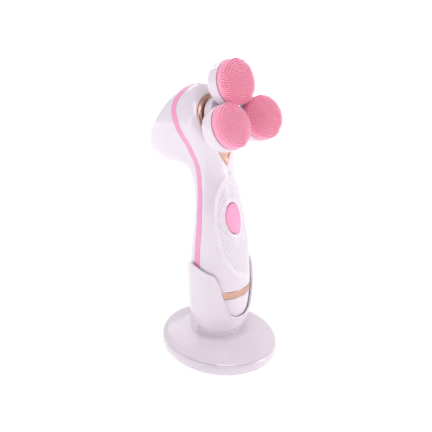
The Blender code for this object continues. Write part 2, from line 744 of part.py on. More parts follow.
def make_handset_parts():
    front, rear, stripe = make_housings()
    tree = skin_tree()
    recess = trim_body("recess", tree, GAP, GAP, 6.0, TRIM_THICKNESS + GAP, WHITE)
    apply_boolean(front, recess, "DIFFERENCE")
    shaft_hole = face_cylinder("hole", BUSH_OUTER + GAP, 10.0, 30.0)
    apply_boolean(front, shaft_hole, "DIFFERENCE")
    press = button_frame()
    outline = oval(BUTTON_HALF_WIDTH + BUTTON_CLEARANCE, BUTTON_HALF_HEIGHT + BUTTON_CLEARANCE)
    opening = prism("opening", outline, -7.0, 7.0, WHITE, press)
    apply_boolean(front, opening, "DIFFERENCE")
    trim = trim_body("teardrop_trim", tree, 0.0, 0.0, 0.3, TRIM_THICKNESS - 0.3, ROSE_GOLD)
    made = [front, rear, stripe, trim]
    made.append(handle_tube("lower_band", BAND_BOTTOM_Z + GAP, BAND_TOP_Z, 0.15, 1.8, ROSE_GOLD))
    made.append(handle_tube("end_cap", HANDSET_FOOT_Z, BAND_BOTTOM_Z, 0.0, 1.8, WHITE, 2.0))
    made += make_electronics(press)
    made += make_drive_mounts()
    return made


def make_electronics(press):
    coil = ((4.5, 20.9), (11.5, 20.9), (11.5, 23.0), (4.5, 23.0))
    cell_frame = Matrix.Translation(Vector((0.0, 3.2, 0.0)) * MM)
    tip_z = BATTERY_TOP_Z + 1.2
    cell = ((0.0, BATTERY_BOTTOM_Z), (BATTERY_RADIUS, BATTERY_BOTTOM_Z),
            (BATTERY_RADIUS, BATTERY_TOP_Z), (2.6, BATTERY_TOP_Z), (2.6, tip_z), (0.0, tip_z))
    arc = [math.radians(a) for a in range(-20, 201, 20)]
    cradle = [(HOLDER_OUTER * math.cos(a), HOLDER_OUTER * math.sin(a)) for a in arc]
    cradle += [(HOLDER_INNER * math.cos(a), HOLDER_INNER * math.sin(a)) for a in arc[::-1]]
    return [
        turned("receiver_coil", coil, COPPER, Matrix.Identity(4)),
        turned("battery", cell, CELL, cell_frame),
        prism("battery_holder", cradle, BATTERY_BOTTOM_Z, BATTERY_TOP_Z - 1.0, BLACK, cell_frame),
        box("control_board", (-8.5, -26.0, -8.3), (8.5, 13.0, -7.1), BOARD, press),
        box("tactile_switch", (-3.0, -3.0, -6.8), (3.0, 3.0, -4.8), BLACK, press),
        prism("button_seal", oval(5.6, 10.5), -4.5, -3.5, RUBBER, press),
    ]


def make_drive_mounts():
    frame = FACE_FRAME @ Matrix.Translation(Vector((0.0, -MOTOR_DROP, 0.0)) * MM)
    can = ((0.0, -MOTOR_BACK), (MOTOR_RADIUS, -MOTOR_BACK), (MOTOR_RADIUS, -MOTOR_FRONT),
           (0.0, -MOTOR_FRONT))
    bracket = prism("motor_bracket", oval(11.5, 13.0, centre=(0.0, -8.0)), -43.0, -40.6,
                    ACETAL, FACE_FRAME)
    hole = turned("hole", ((0.0, -50.0), (1.8, -50.0), (1.8, -30.0), (0.0, -30.0)), ACETAL, frame)
    apply_boolean(bracket, hole, "DIFFERENCE")
    return [
        turned("motor", can, STEEL, frame),
        bracket,
        face_tube("shaft_bearing", SHAFT_RADIUS + GAP, BUSH_OUTER, 21.7, 28.0, BRONZE),
        face_tube("shaft_seal", SHAFT_RADIUS + GAP, BUSH_OUTER, 28.4, 30.4, RUBBER),
    ]


def make_button(press):
    """Oval push button whose face follows the handle's curve from side to side."""
    rings = []
    for scale, height in ((1.0, -2.2), (1.0, -0.1), (0.93, 0.3), (0.7, 0.5), (0.35, 0.58)):
        ring = []
        for x, y in oval(BUTTON_HALF_WIDTH * scale, BUTTON_HALF_HEIGHT * scale):
            sag = x * x / 46.0 if height > -2.0 else 0.0
            ring.append((x, y, height - sag))
        rings.append(ring)
    return loft("power_button", rings, BUTTON_PINK, press)


# ---- rotor and brushes ---------------------------------------------------------------------
CARRIER_POINTS = 72


def carrier_ring(shrink, height):
    """Outline of the hub with its three round-ended arms."""
    ring = []
    end = ARM_REACH - ARM_HALF_WIDTH
    half = ARM_HALF_WIDTH - shrink
    for j in range(CARRIER_POINTS):
        angle = 2 * math.pi * j / CARRIER_POINTS
        third = 2 * math.pi / 3
        from_arm = (angle - math.pi / 2 + third / 2) % third - third / 2
        aside = end * abs(math.sin(from_arm))
        if aside < half:
            reach = end * math.cos(from_arm) + math.sqrt(half ** 2 - aside ** 2)
        else:
            reach = half / abs(math.sin(from_arm))
        radius = max(HUB_RADIUS - shrink, reach)
        ring.append((radius * math.cos(angle), radius * math.sin(angle), height))
    return ring


def round_ring(radius, height):
    turns = [2 * math.pi * j / CARRIER_POINTS for j in range(CARRIER_POINTS)]
    return [(radius * math.cos(turn), radius * math.sin(turn), height) for turn in turns]


def brush_frame(angle):
    turn = math.radians(angle)
    outward = Vector((math.cos(turn), math.sin(turn), 0.0))
    lean = math.radians(BRUSH_TILT)
    axis = Vector((0.0, 0.0, 1.0)) * math.cos(lean) - outward * math.sin(lean)
    place = outward * BRUSH_RING
    local = frame_at(tuple(place), tuple(axis), (-outward.y, outward.x, 0.0))
    return FACE_FRAME @ local


def make_rotor():
    """Carrier with a hollow hub, its back plate, and the shaft and gear that turn it."""
    ceiling = -CARRIER_FRONT - CARRIER_WALL
    pocket = HUB_RADIUS - CARRIER_WALL
    rings = [round_ring(1.0, ceiling), round_ring(pocket, ceiling),
             round_ring(pocket, -CARRIER_HUB_BACK), round_ring(HUB_RADIUS, -CARRIER_HUB_BACK),
             round_ring(HUB_RADIUS, -CARRIER_ARM_BACK), carrier_ring(0.0, -CARRIER_ARM_BACK),
             carrier_ring(0.0, -CARRIER_FRONT - 0.8), carrier_ring(0.8, -CARRIER_FRONT),
             round_ring(1.0, -CARRIER_FRONT)]
    carrier = loft("rotor_carrier", rings, WHITE, FACE_FRAME)
    plate = face_tube("rotor_back_plate", BUSH_OUTER + GAP, pocket - GAP,
                      CARRIER_HUB_BACK - BACK_PLATE, CARRIER_HUB_BACK, WHITE)
    for angle in BRUSH_ANGLES.values():
        radius = SPINDLE_RADIUS + GAP
        bore = ((0.0, -20.0), (radius, -20.0), (radius, -5.0), (0.0, -5.0))
        apply_boolean(carrier, turned("bore", bore, WHITE, brush_frame(angle)), "DIFFERENCE")
    shaft = face_cylinder("drive_shaft", SHAFT_RADIUS, GAP - ceiling, GEAR_FRONT - GAP, STEEL)
    gear = prism("driven_gear", gear_outline(DRIVEN_GEAR_RADIUS, 0.8, 20), -GEAR_BACK,
                 -GEAR_FRONT, ACETAL, FACE_FRAME)
    return [carrier, plate, shaft, gear]


def make_pinion():
    frame = FACE_FRAME @ Matrix.Translation(Vector((0.0, -MOTOR_DROP, 0.0)) * MM)
    outline = gear_outline(PINION_RADIUS, 0.7, 7)
    rod = [(x / math.hypot(x, y), y / math.hypot(x, y)) for x, y in outline]
    rings = [[(x, y, GAP - MOTOR_FRONT) for x, y in rod], [(x, y, -GEAR_BACK) for x, y in rod],
             [(x, y, -GEAR_BACK) for x, y in outline], [(x, y, -GEAR_FRONT) for x, y in outline]]
    return loft("motor_pinion", rings, STEEL, frame), frame


CUP_PROFILE = ((1.9, -11.2), (9.6, -11.2), (11.9, -10.5), (13.4, -9.0), (14.1, -7.0),
               (14.6, -3.6), (14.8, 0.0), (13.7, 0.0), (13.3, -3.4), (12.6, -6.4), (11.2, -8.4),
               (9.0, -9.1), (1.9, -9.1))
SPINDLE_PROFILE = ((0.0, -17.6), (SPINDLE_HEAD_RADIUS, -17.6), (SPINDLE_HEAD_RADIUS, -16.7),
                   (SPINDLE_RADIUS, -16.7), (SPINDLE_RADIUS, -9.4), (0.0, -9.4))
PAD_PROFILE = ((0.0, -6.3), (10.3, -6.3), (12.5, -3.0), (13.1, 0.35), (14.4, 0.35),
               (PAD_RADIUS, 1.2), (14.35, 3.8), (13.4, 6.4), (10.8, 8.8), (6.0, 10.5),
               (0.0, PAD_HEIGHT))


def make_brush(label, angle):
    frame = brush_frame(angle)
    cup = turned(f"brush_cup_{label}", CUP_PROFILE, WHITE, frame, 20)
    pad = turned(f"brush_pad_{label}", PAD_PROFILE, SILICONE, frame, 20)
    spindle = turned(f"brush_spindle_{label}", SPINDLE_PROFILE, STEEL, frame, 20)
    return [cup, pad, spindle], frame


# ---- assembly ------------------------------------------------------------------------------
def build():
    stand = joint_frame("stand_origin", Matrix.Identity(4))
    hang(make_stand_parts(), stand)
    lift = joint_frame("handset_lift", Matrix.Identity(4))
    hang(make_handset_parts(), lift)
    press = button_frame()
    press_joint = joint_frame("button_press", press)
    hang([press_joint], lift)
    hang([make_button(press)], press_joint)
    rotor_joint = joint_frame("rotor_spin", FACE_FRAME)
    hang([rotor_joint], lift)
    hang(make_rotor(), rotor_joint)
    pinion, pinion_frame = make_pinion()
    pinion_joint = joint_frame("pinion_spin", pinion_frame)
    hang([pinion_joint], lift)
    hang([pinion], pinion_joint)
    for label, angle in BRUSH_ANGLES.items():
        pieces, frame = make_brush(label, angle)
        spin = joint_frame(f"brush_spin_{label}", frame)
        hang([spin], rotor_joint)
        hang(pieces, spin)


build()
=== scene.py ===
import json
import math

import bmesh
import bpy
import numpy as np
from mathutils import Matrix, Vector
from mathutils.bvhtree import BVHTree


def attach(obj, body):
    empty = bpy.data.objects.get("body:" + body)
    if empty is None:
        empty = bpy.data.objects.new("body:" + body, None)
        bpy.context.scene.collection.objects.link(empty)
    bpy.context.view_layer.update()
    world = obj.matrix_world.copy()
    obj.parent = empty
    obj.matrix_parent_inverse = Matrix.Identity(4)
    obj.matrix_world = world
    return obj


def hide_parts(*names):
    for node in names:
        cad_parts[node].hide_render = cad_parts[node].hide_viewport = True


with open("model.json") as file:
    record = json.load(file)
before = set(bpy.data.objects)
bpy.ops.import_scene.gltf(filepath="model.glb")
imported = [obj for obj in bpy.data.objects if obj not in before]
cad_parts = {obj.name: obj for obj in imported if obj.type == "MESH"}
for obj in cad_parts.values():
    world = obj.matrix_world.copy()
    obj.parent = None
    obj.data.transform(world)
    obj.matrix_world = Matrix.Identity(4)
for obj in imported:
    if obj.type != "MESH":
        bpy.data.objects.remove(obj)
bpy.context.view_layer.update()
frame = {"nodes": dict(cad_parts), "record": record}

NODES = frame["nodes"]
MM = 0.001
GAP = 0.3

# ---- shape of the object, in millimetres and degrees ---------------------------------------
FOOT_HALF_X = 40.3
FOOT_HALF_Y = 46.4
FOOT_GROOVE_Z = 7.4
FOOT_GROOVE_INSET = 1.5
RUBBER_FOOT_X = 17.0
RUBBER_FOOT_Y = 31.0
SCREW_X = 26.0
SCREW_Y = 20.0
CUP_JOINT_RADIUS = 15.7
CUP_JOINT_Z = 14.3
CUP_WALL = 1.5
CUP_CLEARANCE = 0.4
CUP_FLOOR_Z = 17.7
CUP_FLOOR = 2.0
RIM_NOTCH_Z = 32.6
RIM_LIP_RISE = 4.0
RIM_SIDE_RISE = 32.0
RIM_BACK_RISE = 5.1
RIM_REAR_DIP = 18.0
HANDSET_FOOT_Z = 18.0
BAND_BOTTOM_Z = 49.4
BAND_TOP_Z = 55.3
HOUSING_WALL = 2.0
STRIPE_STATIONS = (3.6, 5.0, 6.0, 7.0, 8.0, 10.0, 12.0, 15.0)
STRIPE_WIDTHS = (5.3, 4.8, 4.4, 4.0, 3.65, 3.65, 4.1, 4.3)
FACE_TILT = 23.1
ROTOR_ORIGIN = Vector((0.0, -18.55, 183.05))
FACE_DEPTH = 21.0
BRUSH_RING = 17.4
BRUSH_TILT = 6.0
BRUSH_ANGLES = {"top": 90.0, "left": 210.0, "right": 330.0}
CARRIER_FRONT = 12.9
CARRIER_ARM_BACK = 16.0
CARRIER_HUB_BACK = 19.6
CARRIER_WALL = 2.0
HUB_RADIUS = 13.6
ARM_HALF_WIDTH = 4.6
ARM_REACH = 23.6
TRIM_RADIUS = 17.0
TRIM_DROP = 0.5
TRIM_TIP = 32.6
TRIM_HOLE = 12.2
BUTTON_Z = 107.2
BUTTON_HALF_WIDTH = 6.7
BUTTON_HALF_HEIGHT = 10.6
BUTTON_LEAN = 14.1
SHAFT_HOLE_RADIUS = 4.9
PANEL_HALF_WIDTH = 15.0
PANEL_BOTTOM_Z = 64.0
PANEL_TOP_Z = 136.0
PANEL_DEPTH = 0.55
PANEL_RIDGE = 0.4
PANEL_EDGE = (0.86, 0.98)     # share of the panel's reach over which its floor rises
PANEL_RIDGE_SPREAD = 0.05
PANEL_REAR_Y = 2.0
GRIP_PITCH_X = 2.7
GRIP_PITCH_Z = 4.2
GRIP_CENTRE_Z = 99.0
GRIP_HALF_WIDTH = 12.6
GRIP_HALF_HEIGHT = 32.0
GRIP_RELIEF = 0.32
CUT_FRONT_Y = -120.0          # how far the cutters of the two housings reach
CUT_REAR_Y = 160.0
CUT_HALF_X = 60.0
STATIONS = (
    ((-14.9, 18.0), (14.5, 18.0), 14.3, 0.50, 2.0, 2.0),
    ((-18.4, 22.0), (17.6, 22.0), 17.6, 0.51, 2.0, 2.0),
    ((-21.2, 30.0), (18.9, 30.0), 20.3, 0.53, 2.0, 2.0),
    ((-22.7, 40.0), (19.6, 40.0), 21.3, 0.54, 2.0, 2.0),
    ((-23.3, 57.0), (19.4, 57.0), 21.8, 0.55, 2.0, 2.0),
    ((-21.4, 80.4), (18.0, 80.4), 20.9, 0.565, 2.0, 2.0),
    ((-16.6, 100.5), (14.9, 100.5), 19.9, 0.53, 2.0, 2.0),
    ((-11.8, 119.3), (15.2, 119.3), 17.3, 0.485, 2.0, 2.0),
    ((-8.4, 136.0), (21.6, 133.7), 15.2, 0.407, 2.05, 2.05),
    ((-6.6, 148.8), (32.2, 137.9), 14.7, 0.348, 2.3, 2.4),
    ((-6.3, 158.5), (47.4, 136.9), 17.5, 0.269, 2.6, 3.2),
    ((-4.0, 165.3), (61.2, 143.0), 20.6, 0.218, 2.8, 4.2),
    ((-1.6, 170.9), (60.9, 154.1), 22.2, 0.254, 2.8, 4.6),
    ((1.2, 177.7), (55.1, 165.9), 23.0, 0.328, 2.8, 4.6),
    ((4.8, 186.1), (42.8, 181.5), 22.5, 0.506, 2.7, 4.4),
    ((8.9, 195.7), (33.9, 192.0), 20.8, 0.548, 2.6, 4.0),
)
CROWN_START = 12
CROWN_FRONT_SQUARENESS = 3.2
FACE_SOFTNESS = 0.5
TILT = math.radians(FACE_TILT)
LEAN = math.radians(BUTTON_LEAN)
FACE_NORMAL = Vector((0.0, -math.cos(TILT), math.sin(TILT)))
FACE_UP = Vector((0.0, math.sin(TILT), math.cos(TILT)))
PRESS_AXIS = Vector((0.0, math.cos(LEAN), -math.sin(LEAN)))

# ---- how fine the visible meshes are --------------------------------------------------------
RING_POINTS = 128
STAND_POINTS = 160
TRIM_POINTS = 160
TURN_POINTS = 96


# ---- mesh helpers ----------------------------------------------------------------------------
WELD_DISTANCE = 2e-6


def add_mesh(name, points_mm, faces, look, frame_matrix=None, sharp=40.0):
    mesh = bpy.data.meshes.new(name)
    mesh.from_pydata([tuple(float(c) * MM for c in p) for p in points_mm], [], faces)
    work = bmesh.new()
    work.from_mesh(mesh)
    bmesh.ops.remove_doubles(work, verts=work.verts, dist=WELD_DISTANCE)
    bmesh.ops.recalc_face_normals(work, faces=work.faces)
    work.to_mesh(mesh)
    work.free()
    made = bpy.data.objects.new(name, mesh)
    bpy.context.scene.collection.objects.link(made)
    mesh.materials.append(look)
    if frame_matrix is not None:
        mesh.transform(frame_matrix)
    mesh.shade_smooth()
    mesh.set_sharp_from_angle(angle=math.radians(sharp))
    return made


def ring_faces(rings, count, wrap=False):
    faces = []
    for i in range(rings if wrap else rings - 1):
        a = i * count
        b = ((i + 1) % rings) * count
        for j in range(count):
            k = (j + 1) % count
            faces.append((a + j, a + k, b + k, b + j))
    return faces


def loft(name, rings, look, frame_matrix=None, wrap=False, sharp=40.0):
    count = len(rings[0])
    points = [tuple(p) for ring in rings for p in ring]
    faces = ring_faces(len(rings), count, wrap)
    if not wrap:
        faces.append(tuple(range(count))[::-1])
        base = (len(rings) - 1) * count
        faces.append(tuple(range(base, base + count)))
    return add_mesh(name, points, faces, look, frame_matrix, sharp)


def turned(name, profile, look, frame_matrix, segments=TURN_POINTS, sharp=40.0):
    """Body of revolution of a closed (radius, height) profile; radius 0 marks the axis."""
    points = []
    rows = []
    for radius, height in profile:
        if radius < 1e-6:
            rows.append([len(points)])
            points.append((0.0, 0.0, height))
            continue
        rows.append(list(range(len(points), len(points) + segments)))
        for j in range(segments):
            angle = 2 * math.pi * j / segments
            points.append((radius * math.cos(angle), radius * math.sin(angle), height))
    faces = []
    closed = len(rows[0]) > 1
    last = len(rows) if closed else len(rows) - 1
    for i in range(last):
        low, high = rows[i], rows[(i + 1) % len(rows)]
        for j in range(segments):
            k = (j + 1) % segments
            if len(low) == 1:
                faces.append((low[0], high[k], high[j]))
            elif len(high) == 1:
                faces.append((low[j], low[k], high[0]))
            else:
                faces.append((low[j], low[k], high[k], high[j]))
    return add_mesh(name, points, faces, look, frame_matrix, sharp)


def rounded(points, cuts=4, reach=0.35):
    """Turn the corners between a (radius, height) profile's ends into short arcs."""
    out = [points[0]]
    for i in range(1, len(points) - 1):
        before, here, after = (np.array(points[k], float) for k in (i - 1, i, i + 1))
        a = here + (before - here) * min(0.45, reach / max(np.linalg.norm(before - here), 1e-9))
        b = here + (after - here) * min(0.45, reach / max(np.linalg.norm(after - here), 1e-9))
        for s in np.linspace(0.0, 1.0, cuts):
            p = (1 - s) ** 2 * a + 2 * s * (1 - s) * here + s ** 2 * b
            out.append(tuple(p))
    out.append(points[-1])
    return out


def oval(half_width, half_height, count=96):
    return [(half_width * math.cos(2 * math.pi * j / count),
             half_height * math.sin(2 * math.pi * j / count)) for j in range(count)]


def prism(name, outline, low, high, look, frame_matrix):
    rings = [[(x, y, low) for x, y in outline], [(x, y, high) for x, y in outline]]
    return loft(name, rings, look, frame_matrix)


def frame_at(place, z_axis, x_axis=(1.0, 0.0, 0.0)):
    z = Vector(z_axis).normalized()
    x = Vector(x_axis)
    x = (x - z * x.dot(z)).normalized()
    y = z.cross(x)
    made = Matrix((x, y, z)).transposed().to_4x4()
    made.translation = Vector(place) * MM
    return made


def apply_boolean(target, cutter, operation):
    modifier = target.modifiers.new("cut", "BOOLEAN")
    modifier.operation = operation
    modifier.solver = "EXACT"
    modifier.object = cutter
    bpy.context.view_layer.update()
    graph = bpy.context.evaluated_depsgraph_get()
    mesh = bpy.data.meshes.new_from_object(target.evaluated_get(graph))
    target.modifiers.clear()
    target.data = mesh
    bpy.data.objects.remove(cutter, do_unlink=True)


def finish_piece(made, sharp=35.0):
    made.data.shade_smooth()
    made.data.set_sharp_from_angle(angle=math.radians(sharp))
    return made


def smooth_step(value, low, high):
    t = np.clip((np.asarray(value, float) - low) / (high - low), 0.0, 1.0)
    return t * t * (3.0 - 2.0 * t)


# ---- materials -------------------------------------------------------------------------------
def node_material(name):
    made = bpy.data.materials.new(name)
    made.use_nodes = True
    tree = made.node_tree
    shader = tree.nodes["Principled BSDF"]
    return made, tree, shader


def math_node(tree, operation, a, b=None, clamp=False):
    node = tree.nodes.new("ShaderNodeMath")
    node.operation = operation
    node.use_clamp = clamp
    for slot, value in enumerate((a, b)):
        if value is None:
            continue
        if isinstance(value, (int, float)):
            node.inputs[slot].default_value = value
        else:
            tree.links.new(value, node.inputs[slot])
    return node.outputs[0]


def noise_node(tree, scale, detail=3.0):
    node = tree.nodes.new("ShaderNodeTexNoise")
    node.inputs["Scale"].default_value = scale
    node.inputs["Detail"].default_value = detail
    place = tree.nodes.new("ShaderNodeTexCoord")
    tree.links.new(place.outputs["Object"], node.inputs["Vector"])
    return node.outputs["Fac"]


def mix_colour(tree, factor, first, second):
    node = tree.nodes.new("ShaderNodeMix")
    node.data_type = "RGBA"
    tree.links.new(factor, node.inputs["Factor"])
    for socket, colour in ((node.inputs[6], first), (node.inputs[7], second)):
        if isinstance(colour, tuple):
            socket.default_value = (*colour, 1.0)
        else:
            tree.links.new(colour, socket)
    return node.outputs[2]


def spread(tree, value, low, high):
    node = tree.nodes.new("ShaderNodeMapRange")
    tree.links.new(value, node.inputs["Value"])
    node.inputs["From Min"].default_value = 0.3
    node.inputs["From Max"].default_value = 0.7
    node.inputs["To Min"].default_value = low
    node.inputs["To Max"].default_value = high
    return node.outputs[0]


def bump_node(tree, height, strength, distance, normal=None):
    node = tree.nodes.new("ShaderNodeBump")
    node.inputs["Strength"].default_value = strength
    node.inputs["Distance"].default_value = distance
    tree.links.new(height, node.inputs["Height"])
    if normal is not None:
        tree.links.new(normal, node.inputs["Normal"])
    return node.outputs["Normal"]


def surface(name, dark, light, rough, grain=220.0, bump=0.08, metallic=0.0, coat=0.0):
    """Two close tones, a breathing roughness and a fine grain."""
    made, tree, shader = node_material(name)
    broad = noise_node(tree, 35.0, 4.0)
    fine = noise_node(tree, grain * 8.0, 2.0)
    tree.links.new(mix_colour(tree, spread(tree, broad, 0.0, 1.0), dark, light),
                   shader.inputs["Base Color"])
    tree.links.new(spread(tree, noise_node(tree, grain, 3.0), rough[0], rough[1]),
                   shader.inputs["Roughness"])
    tree.links.new(bump_node(tree, fine, bump, 0.00006), shader.inputs["Normal"])
    shader.inputs["Metallic"].default_value = metallic
    shader.inputs["Coat Weight"].default_value = coat
    shader.inputs["Coat Roughness"].default_value = 0.08
    return made


WHITE_DARK = (0.770, 0.690, 0.770)
WHITE_LIGHT = (0.815, 0.735, 0.810)
white = surface("gloss_white_abs", WHITE_DARK, WHITE_LIGHT, (0.15, 0.19), 90.0, bump=0.02,
                coat=0.5)
stripe_pink = surface("stripe_pink", (0.88, 0.33, 0.56), (0.92, 0.38, 0.61), (0.30, 0.38),
                      bump=0.05)
button_pink = surface("button_pink", (1.0, 0.33, 0.55), (1.0, 0.39, 0.61), (0.38, 0.48),
                      bump=0.10)
rose_gold = surface("rose_gold", (0.58, 0.34, 0.27), (0.66, 0.41, 0.33), (0.22, 0.30),
                    grain=90.0, bump=0.05, metallic=1.0)
rubber = surface("grey_rubber", (0.10, 0.10, 0.11), (0.14, 0.14, 0.15), (0.70, 0.85), bump=0.25)
steel = surface("steel", (0.50, 0.50, 0.52), (0.60, 0.60, 0.61), (0.28, 0.40), metallic=1.0)
copper = surface("copper_wire", (0.62, 0.27, 0.14), (0.74, 0.36, 0.20), (0.28, 0.40),
                 metallic=1.0)
ferrite = surface("ferrite", (0.05, 0.05, 0.06), (0.09, 0.09, 0.10), (0.60, 0.80), bump=0.2)
board = surface("circuit_board", (0.02, 0.16, 0.06), (0.04, 0.22, 0.09), (0.40, 0.55))
cell = surface("battery_wrap", (0.08, 0.21, 0.52), (0.12, 0.28, 0.62), (0.30, 0.42))
acetal = surface("acetal", (0.72, 0.71, 0.67), (0.78, 0.77, 0.73), (0.35, 0.48))
bronze = surface("bronze", (0.48, 0.30, 0.12), (0.58, 0.38, 0.17), (0.35, 0.48), metallic=1.0)
black = surface("black_plastic", (0.025, 0.025, 0.027), (0.04, 0.04, 0.043), (0.35, 0.5))


def grip_material():
    """The handset's white, with rows of small raised lozenges inside the grip panel."""
    made, tree, shader = node_material("gloss_white_grip")
    place = tree.nodes.new("ShaderNodeTexCoord")
    axes = tree.nodes.new("ShaderNodeSeparateXYZ")
    tree.links.new(place.outputs["Object"], axes.inputs[0])
    x = math_node(tree, "DIVIDE", axes.outputs["X"], MM)
    z = math_node(tree, "DIVIDE", axes.outputs["Z"], MM)
    y = math_node(tree, "DIVIDE", axes.outputs["Y"], MM)
    across = math_node(tree, "DIVIDE", x, GRIP_PITCH_X)
    along = math_node(tree, "DIVIDE", z, GRIP_PITCH_Z)
    edge = []
    for operation in ("ADD", "SUBTRACT"):
        part = math_node(tree, "FRACT", math_node(tree, operation, across, along))
        near = math_node(tree, "ABSOLUTE", math_node(tree, "SUBTRACT", part, 0.5))
        ramp = tree.nodes.new("ShaderNodeMapRange")
        ramp.interpolation_type = "SMOOTHSTEP"
        tree.links.new(near, ramp.inputs["Value"])
        for socket, amount in (("From Min", 0.16), ("From Max", 0.44), ("To Min", 1.0),
                               ("To Max", 0.0)):
            ramp.inputs[socket].default_value = amount
        edge.append(ramp.outputs[0])
    lozenge = math_node(tree, "MULTIPLY", edge[0], edge[1])

    def inside(centre, half_x, half_z, soft):
        u = math_node(tree, "DIVIDE", x, half_x)
        w = math_node(tree, "DIVIDE", math_node(tree, "SUBTRACT", z, centre), half_z)
        parts = [math_node(tree, "POWER", math_node(tree, "ABSOLUTE", share), 2.0)
                 for share in (u, w)]
        square = math_node(tree, "ADD", parts[0], parts[1])
        return math_node(tree, "DIVIDE", math_node(tree, "SUBTRACT", 1.0, square), soft, clamp=True)

    field = inside(GRIP_CENTRE_Z, GRIP_HALF_WIDTH, GRIP_HALF_HEIGHT, 0.12)
    keep_clear = inside(BUTTON_Z, BUTTON_HALF_WIDTH + 2.6, BUTTON_HALF_HEIGHT + 3.0, 0.1)
    field = math_node(tree, "MULTIPLY", field, math_node(tree, "SUBTRACT", 1.0, keep_clear))
    front = math_node(tree, "LESS_THAN", y, 0.0)
    field = math_node(tree, "MULTIPLY", field, front)
    height = math_node(tree, "MULTIPLY", lozenge, field)
    broad = noise_node(tree, 35.0, 4.0)
    tree.links.new(mix_colour(tree, spread(tree, broad, 0.0, 1.0), WHITE_DARK, WHITE_LIGHT),
                   shader.inputs["Base Color"])
    tree.links.new(spread(tree, noise_node(tree, 90.0), 0.15, 0.19), shader.inputs["Roughness"])
    shader.inputs["Coat Weight"].default_value = 0.5
    shader.inputs["Coat Roughness"].default_value = 0.08
    fine = bump_node(tree, noise_node(tree, 900.0, 1.0), 0.02, 0.00003)
    raised = bump_node(tree, height, 0.8, GRIP_RELIEF * MM, fine)
    tree.links.new(raised, shader.inputs["Normal"])
    tree.links.new(raised, shader.inputs["Coat Normal"])
    return made


white_grip = grip_material()


def silicone_material():
    """Pink silicone with painted light and shade: the nub tops are painted paler, as if lit, and
    the pink between the nubs stays deeper, as painted shade.
    """
    made, tree, shader = node_material("pink_silicone")
    # The "tip" attribute is 0 on the pad skin and rises to 1 at each nub top; it weights the
    # painted light there.
    tip = tree.nodes.new("ShaderNodeAttribute")
    tip.attribute_name = "tip"
    grain = noise_node(tree, 60.0, 3.0)
    body = mix_colour(tree, spread(tree, grain, 0.0, 1.0), (1.0, 0.36, 0.53), (1.0, 0.42, 0.59))
    # Painted highlight: the nub tops turn pale pink, so the gaps between them read as painted
    # shade.
    painted_tip_light = mix_colour(tree, tip.outputs["Fac"], body, (1.0, 0.76, 0.85))
    tree.links.new(painted_tip_light, shader.inputs["Base Color"])
    tree.links.new(spread(tree, noise_node(tree, 300.0), 0.42, 0.55), shader.inputs["Roughness"])
    tree.links.new(bump_node(tree, noise_node(tree, 2200.0, 2.0), 0.12, 0.00005),
                   shader.inputs["Normal"])
    shader.inputs["Subsurface Weight"].default_value = 0.25
    shader.inputs["Subsurface Scale"].default_value = 0.0015
    shader.inputs["Subsurface Radius"].default_value = (1.0, 0.35, 0.45)
    return made


silicone = silicone_material()


# ---- the handset's skin ----------------------------------------------------------------------
def spline_through(values):
    rows = np.asarray(values, float)
    if rows.ndim == 1:
        rows = rows[:, None]
    n = len(rows)
    system = np.eye(n)
    right = np.zeros_like(rows)
    for i in range(1, n - 1):
        system[i, i - 1:i + 2] = (1.0, 4.0, 1.0)
        right[i] = 6.0 * (rows[i + 1] - 2.0 * rows[i] + rows[i - 1])
    bend = np.linalg.solve(system, right)

    def at(u):
        i = min(int(u), n - 2)
        b = u - i
        a = 1.0 - b
        lean = ((a ** 3 - a) * bend[i] + (b ** 3 - b) * bend[i + 1]) / 6.0
        return a * rows[i] + b * rows[i + 1] + lean
    return at


FRONT_AT, REAR_AT, WIDTH_AT, SEAM_AT, REAR_SQUARENESS_AT, FRONT_SQUARENESS_AT = (
    spline_through([s[k] for s in STATIONS]) for k in range(6))
LAST_STATION = len(STATIONS) - 1


def closing(u, squareness=2.0):
    reach = max(0.0, (u - CROWN_START) / (LAST_STATION - CROWN_START))
    return max(0.0, 1.0 - reach ** squareness) ** (1.0 / squareness)


def section(u):
    front = FRONT_AT(u)
    rear = REAR_AT(u)
    seam = front + (rear - front) * SEAM_AT(u)[0]
    shrink = closing(u)
    front = seam + (front - seam) * closing(u, CROWN_FRONT_SQUARENESS)
    return front, seam, seam + (rear - seam) * shrink, WIDTH_AT(u)[0] * shrink


def station_of_height(z):
    low, high = 0.0, 7.0
    for _ in range(40):
        middle = (low + high) / 2
        if FRONT_AT(middle)[1] < z:
            low = middle
        else:
            high = middle
    return low


def squared(values, squareness):
    return np.sign(values) * np.abs(values) ** (2.0 / squareness)


def panel_sink(points):
    """How far the soft grip panel lies below the surface at each point."""
    middle = (PANEL_BOTTOM_Z + PANEL_TOP_Z) / 2
    half = (PANEL_TOP_Z - PANEL_BOTTOM_Z) / 2
    reach = np.sqrt((points[:, 0] / PANEL_HALF_WIDTH) ** 2 + ((points[:, 2] - middle) / half) ** 2)
    sunk = PANEL_DEPTH * (1.0 - smooth_step(reach, *PANEL_EDGE))
    ridge = PANEL_RIDGE * np.exp(-((reach - 1.0) / PANEL_RIDGE_SPREAD) ** 2)
    return (sunk - ridge) * (points[:, 1] < PANEL_REAR_Y)


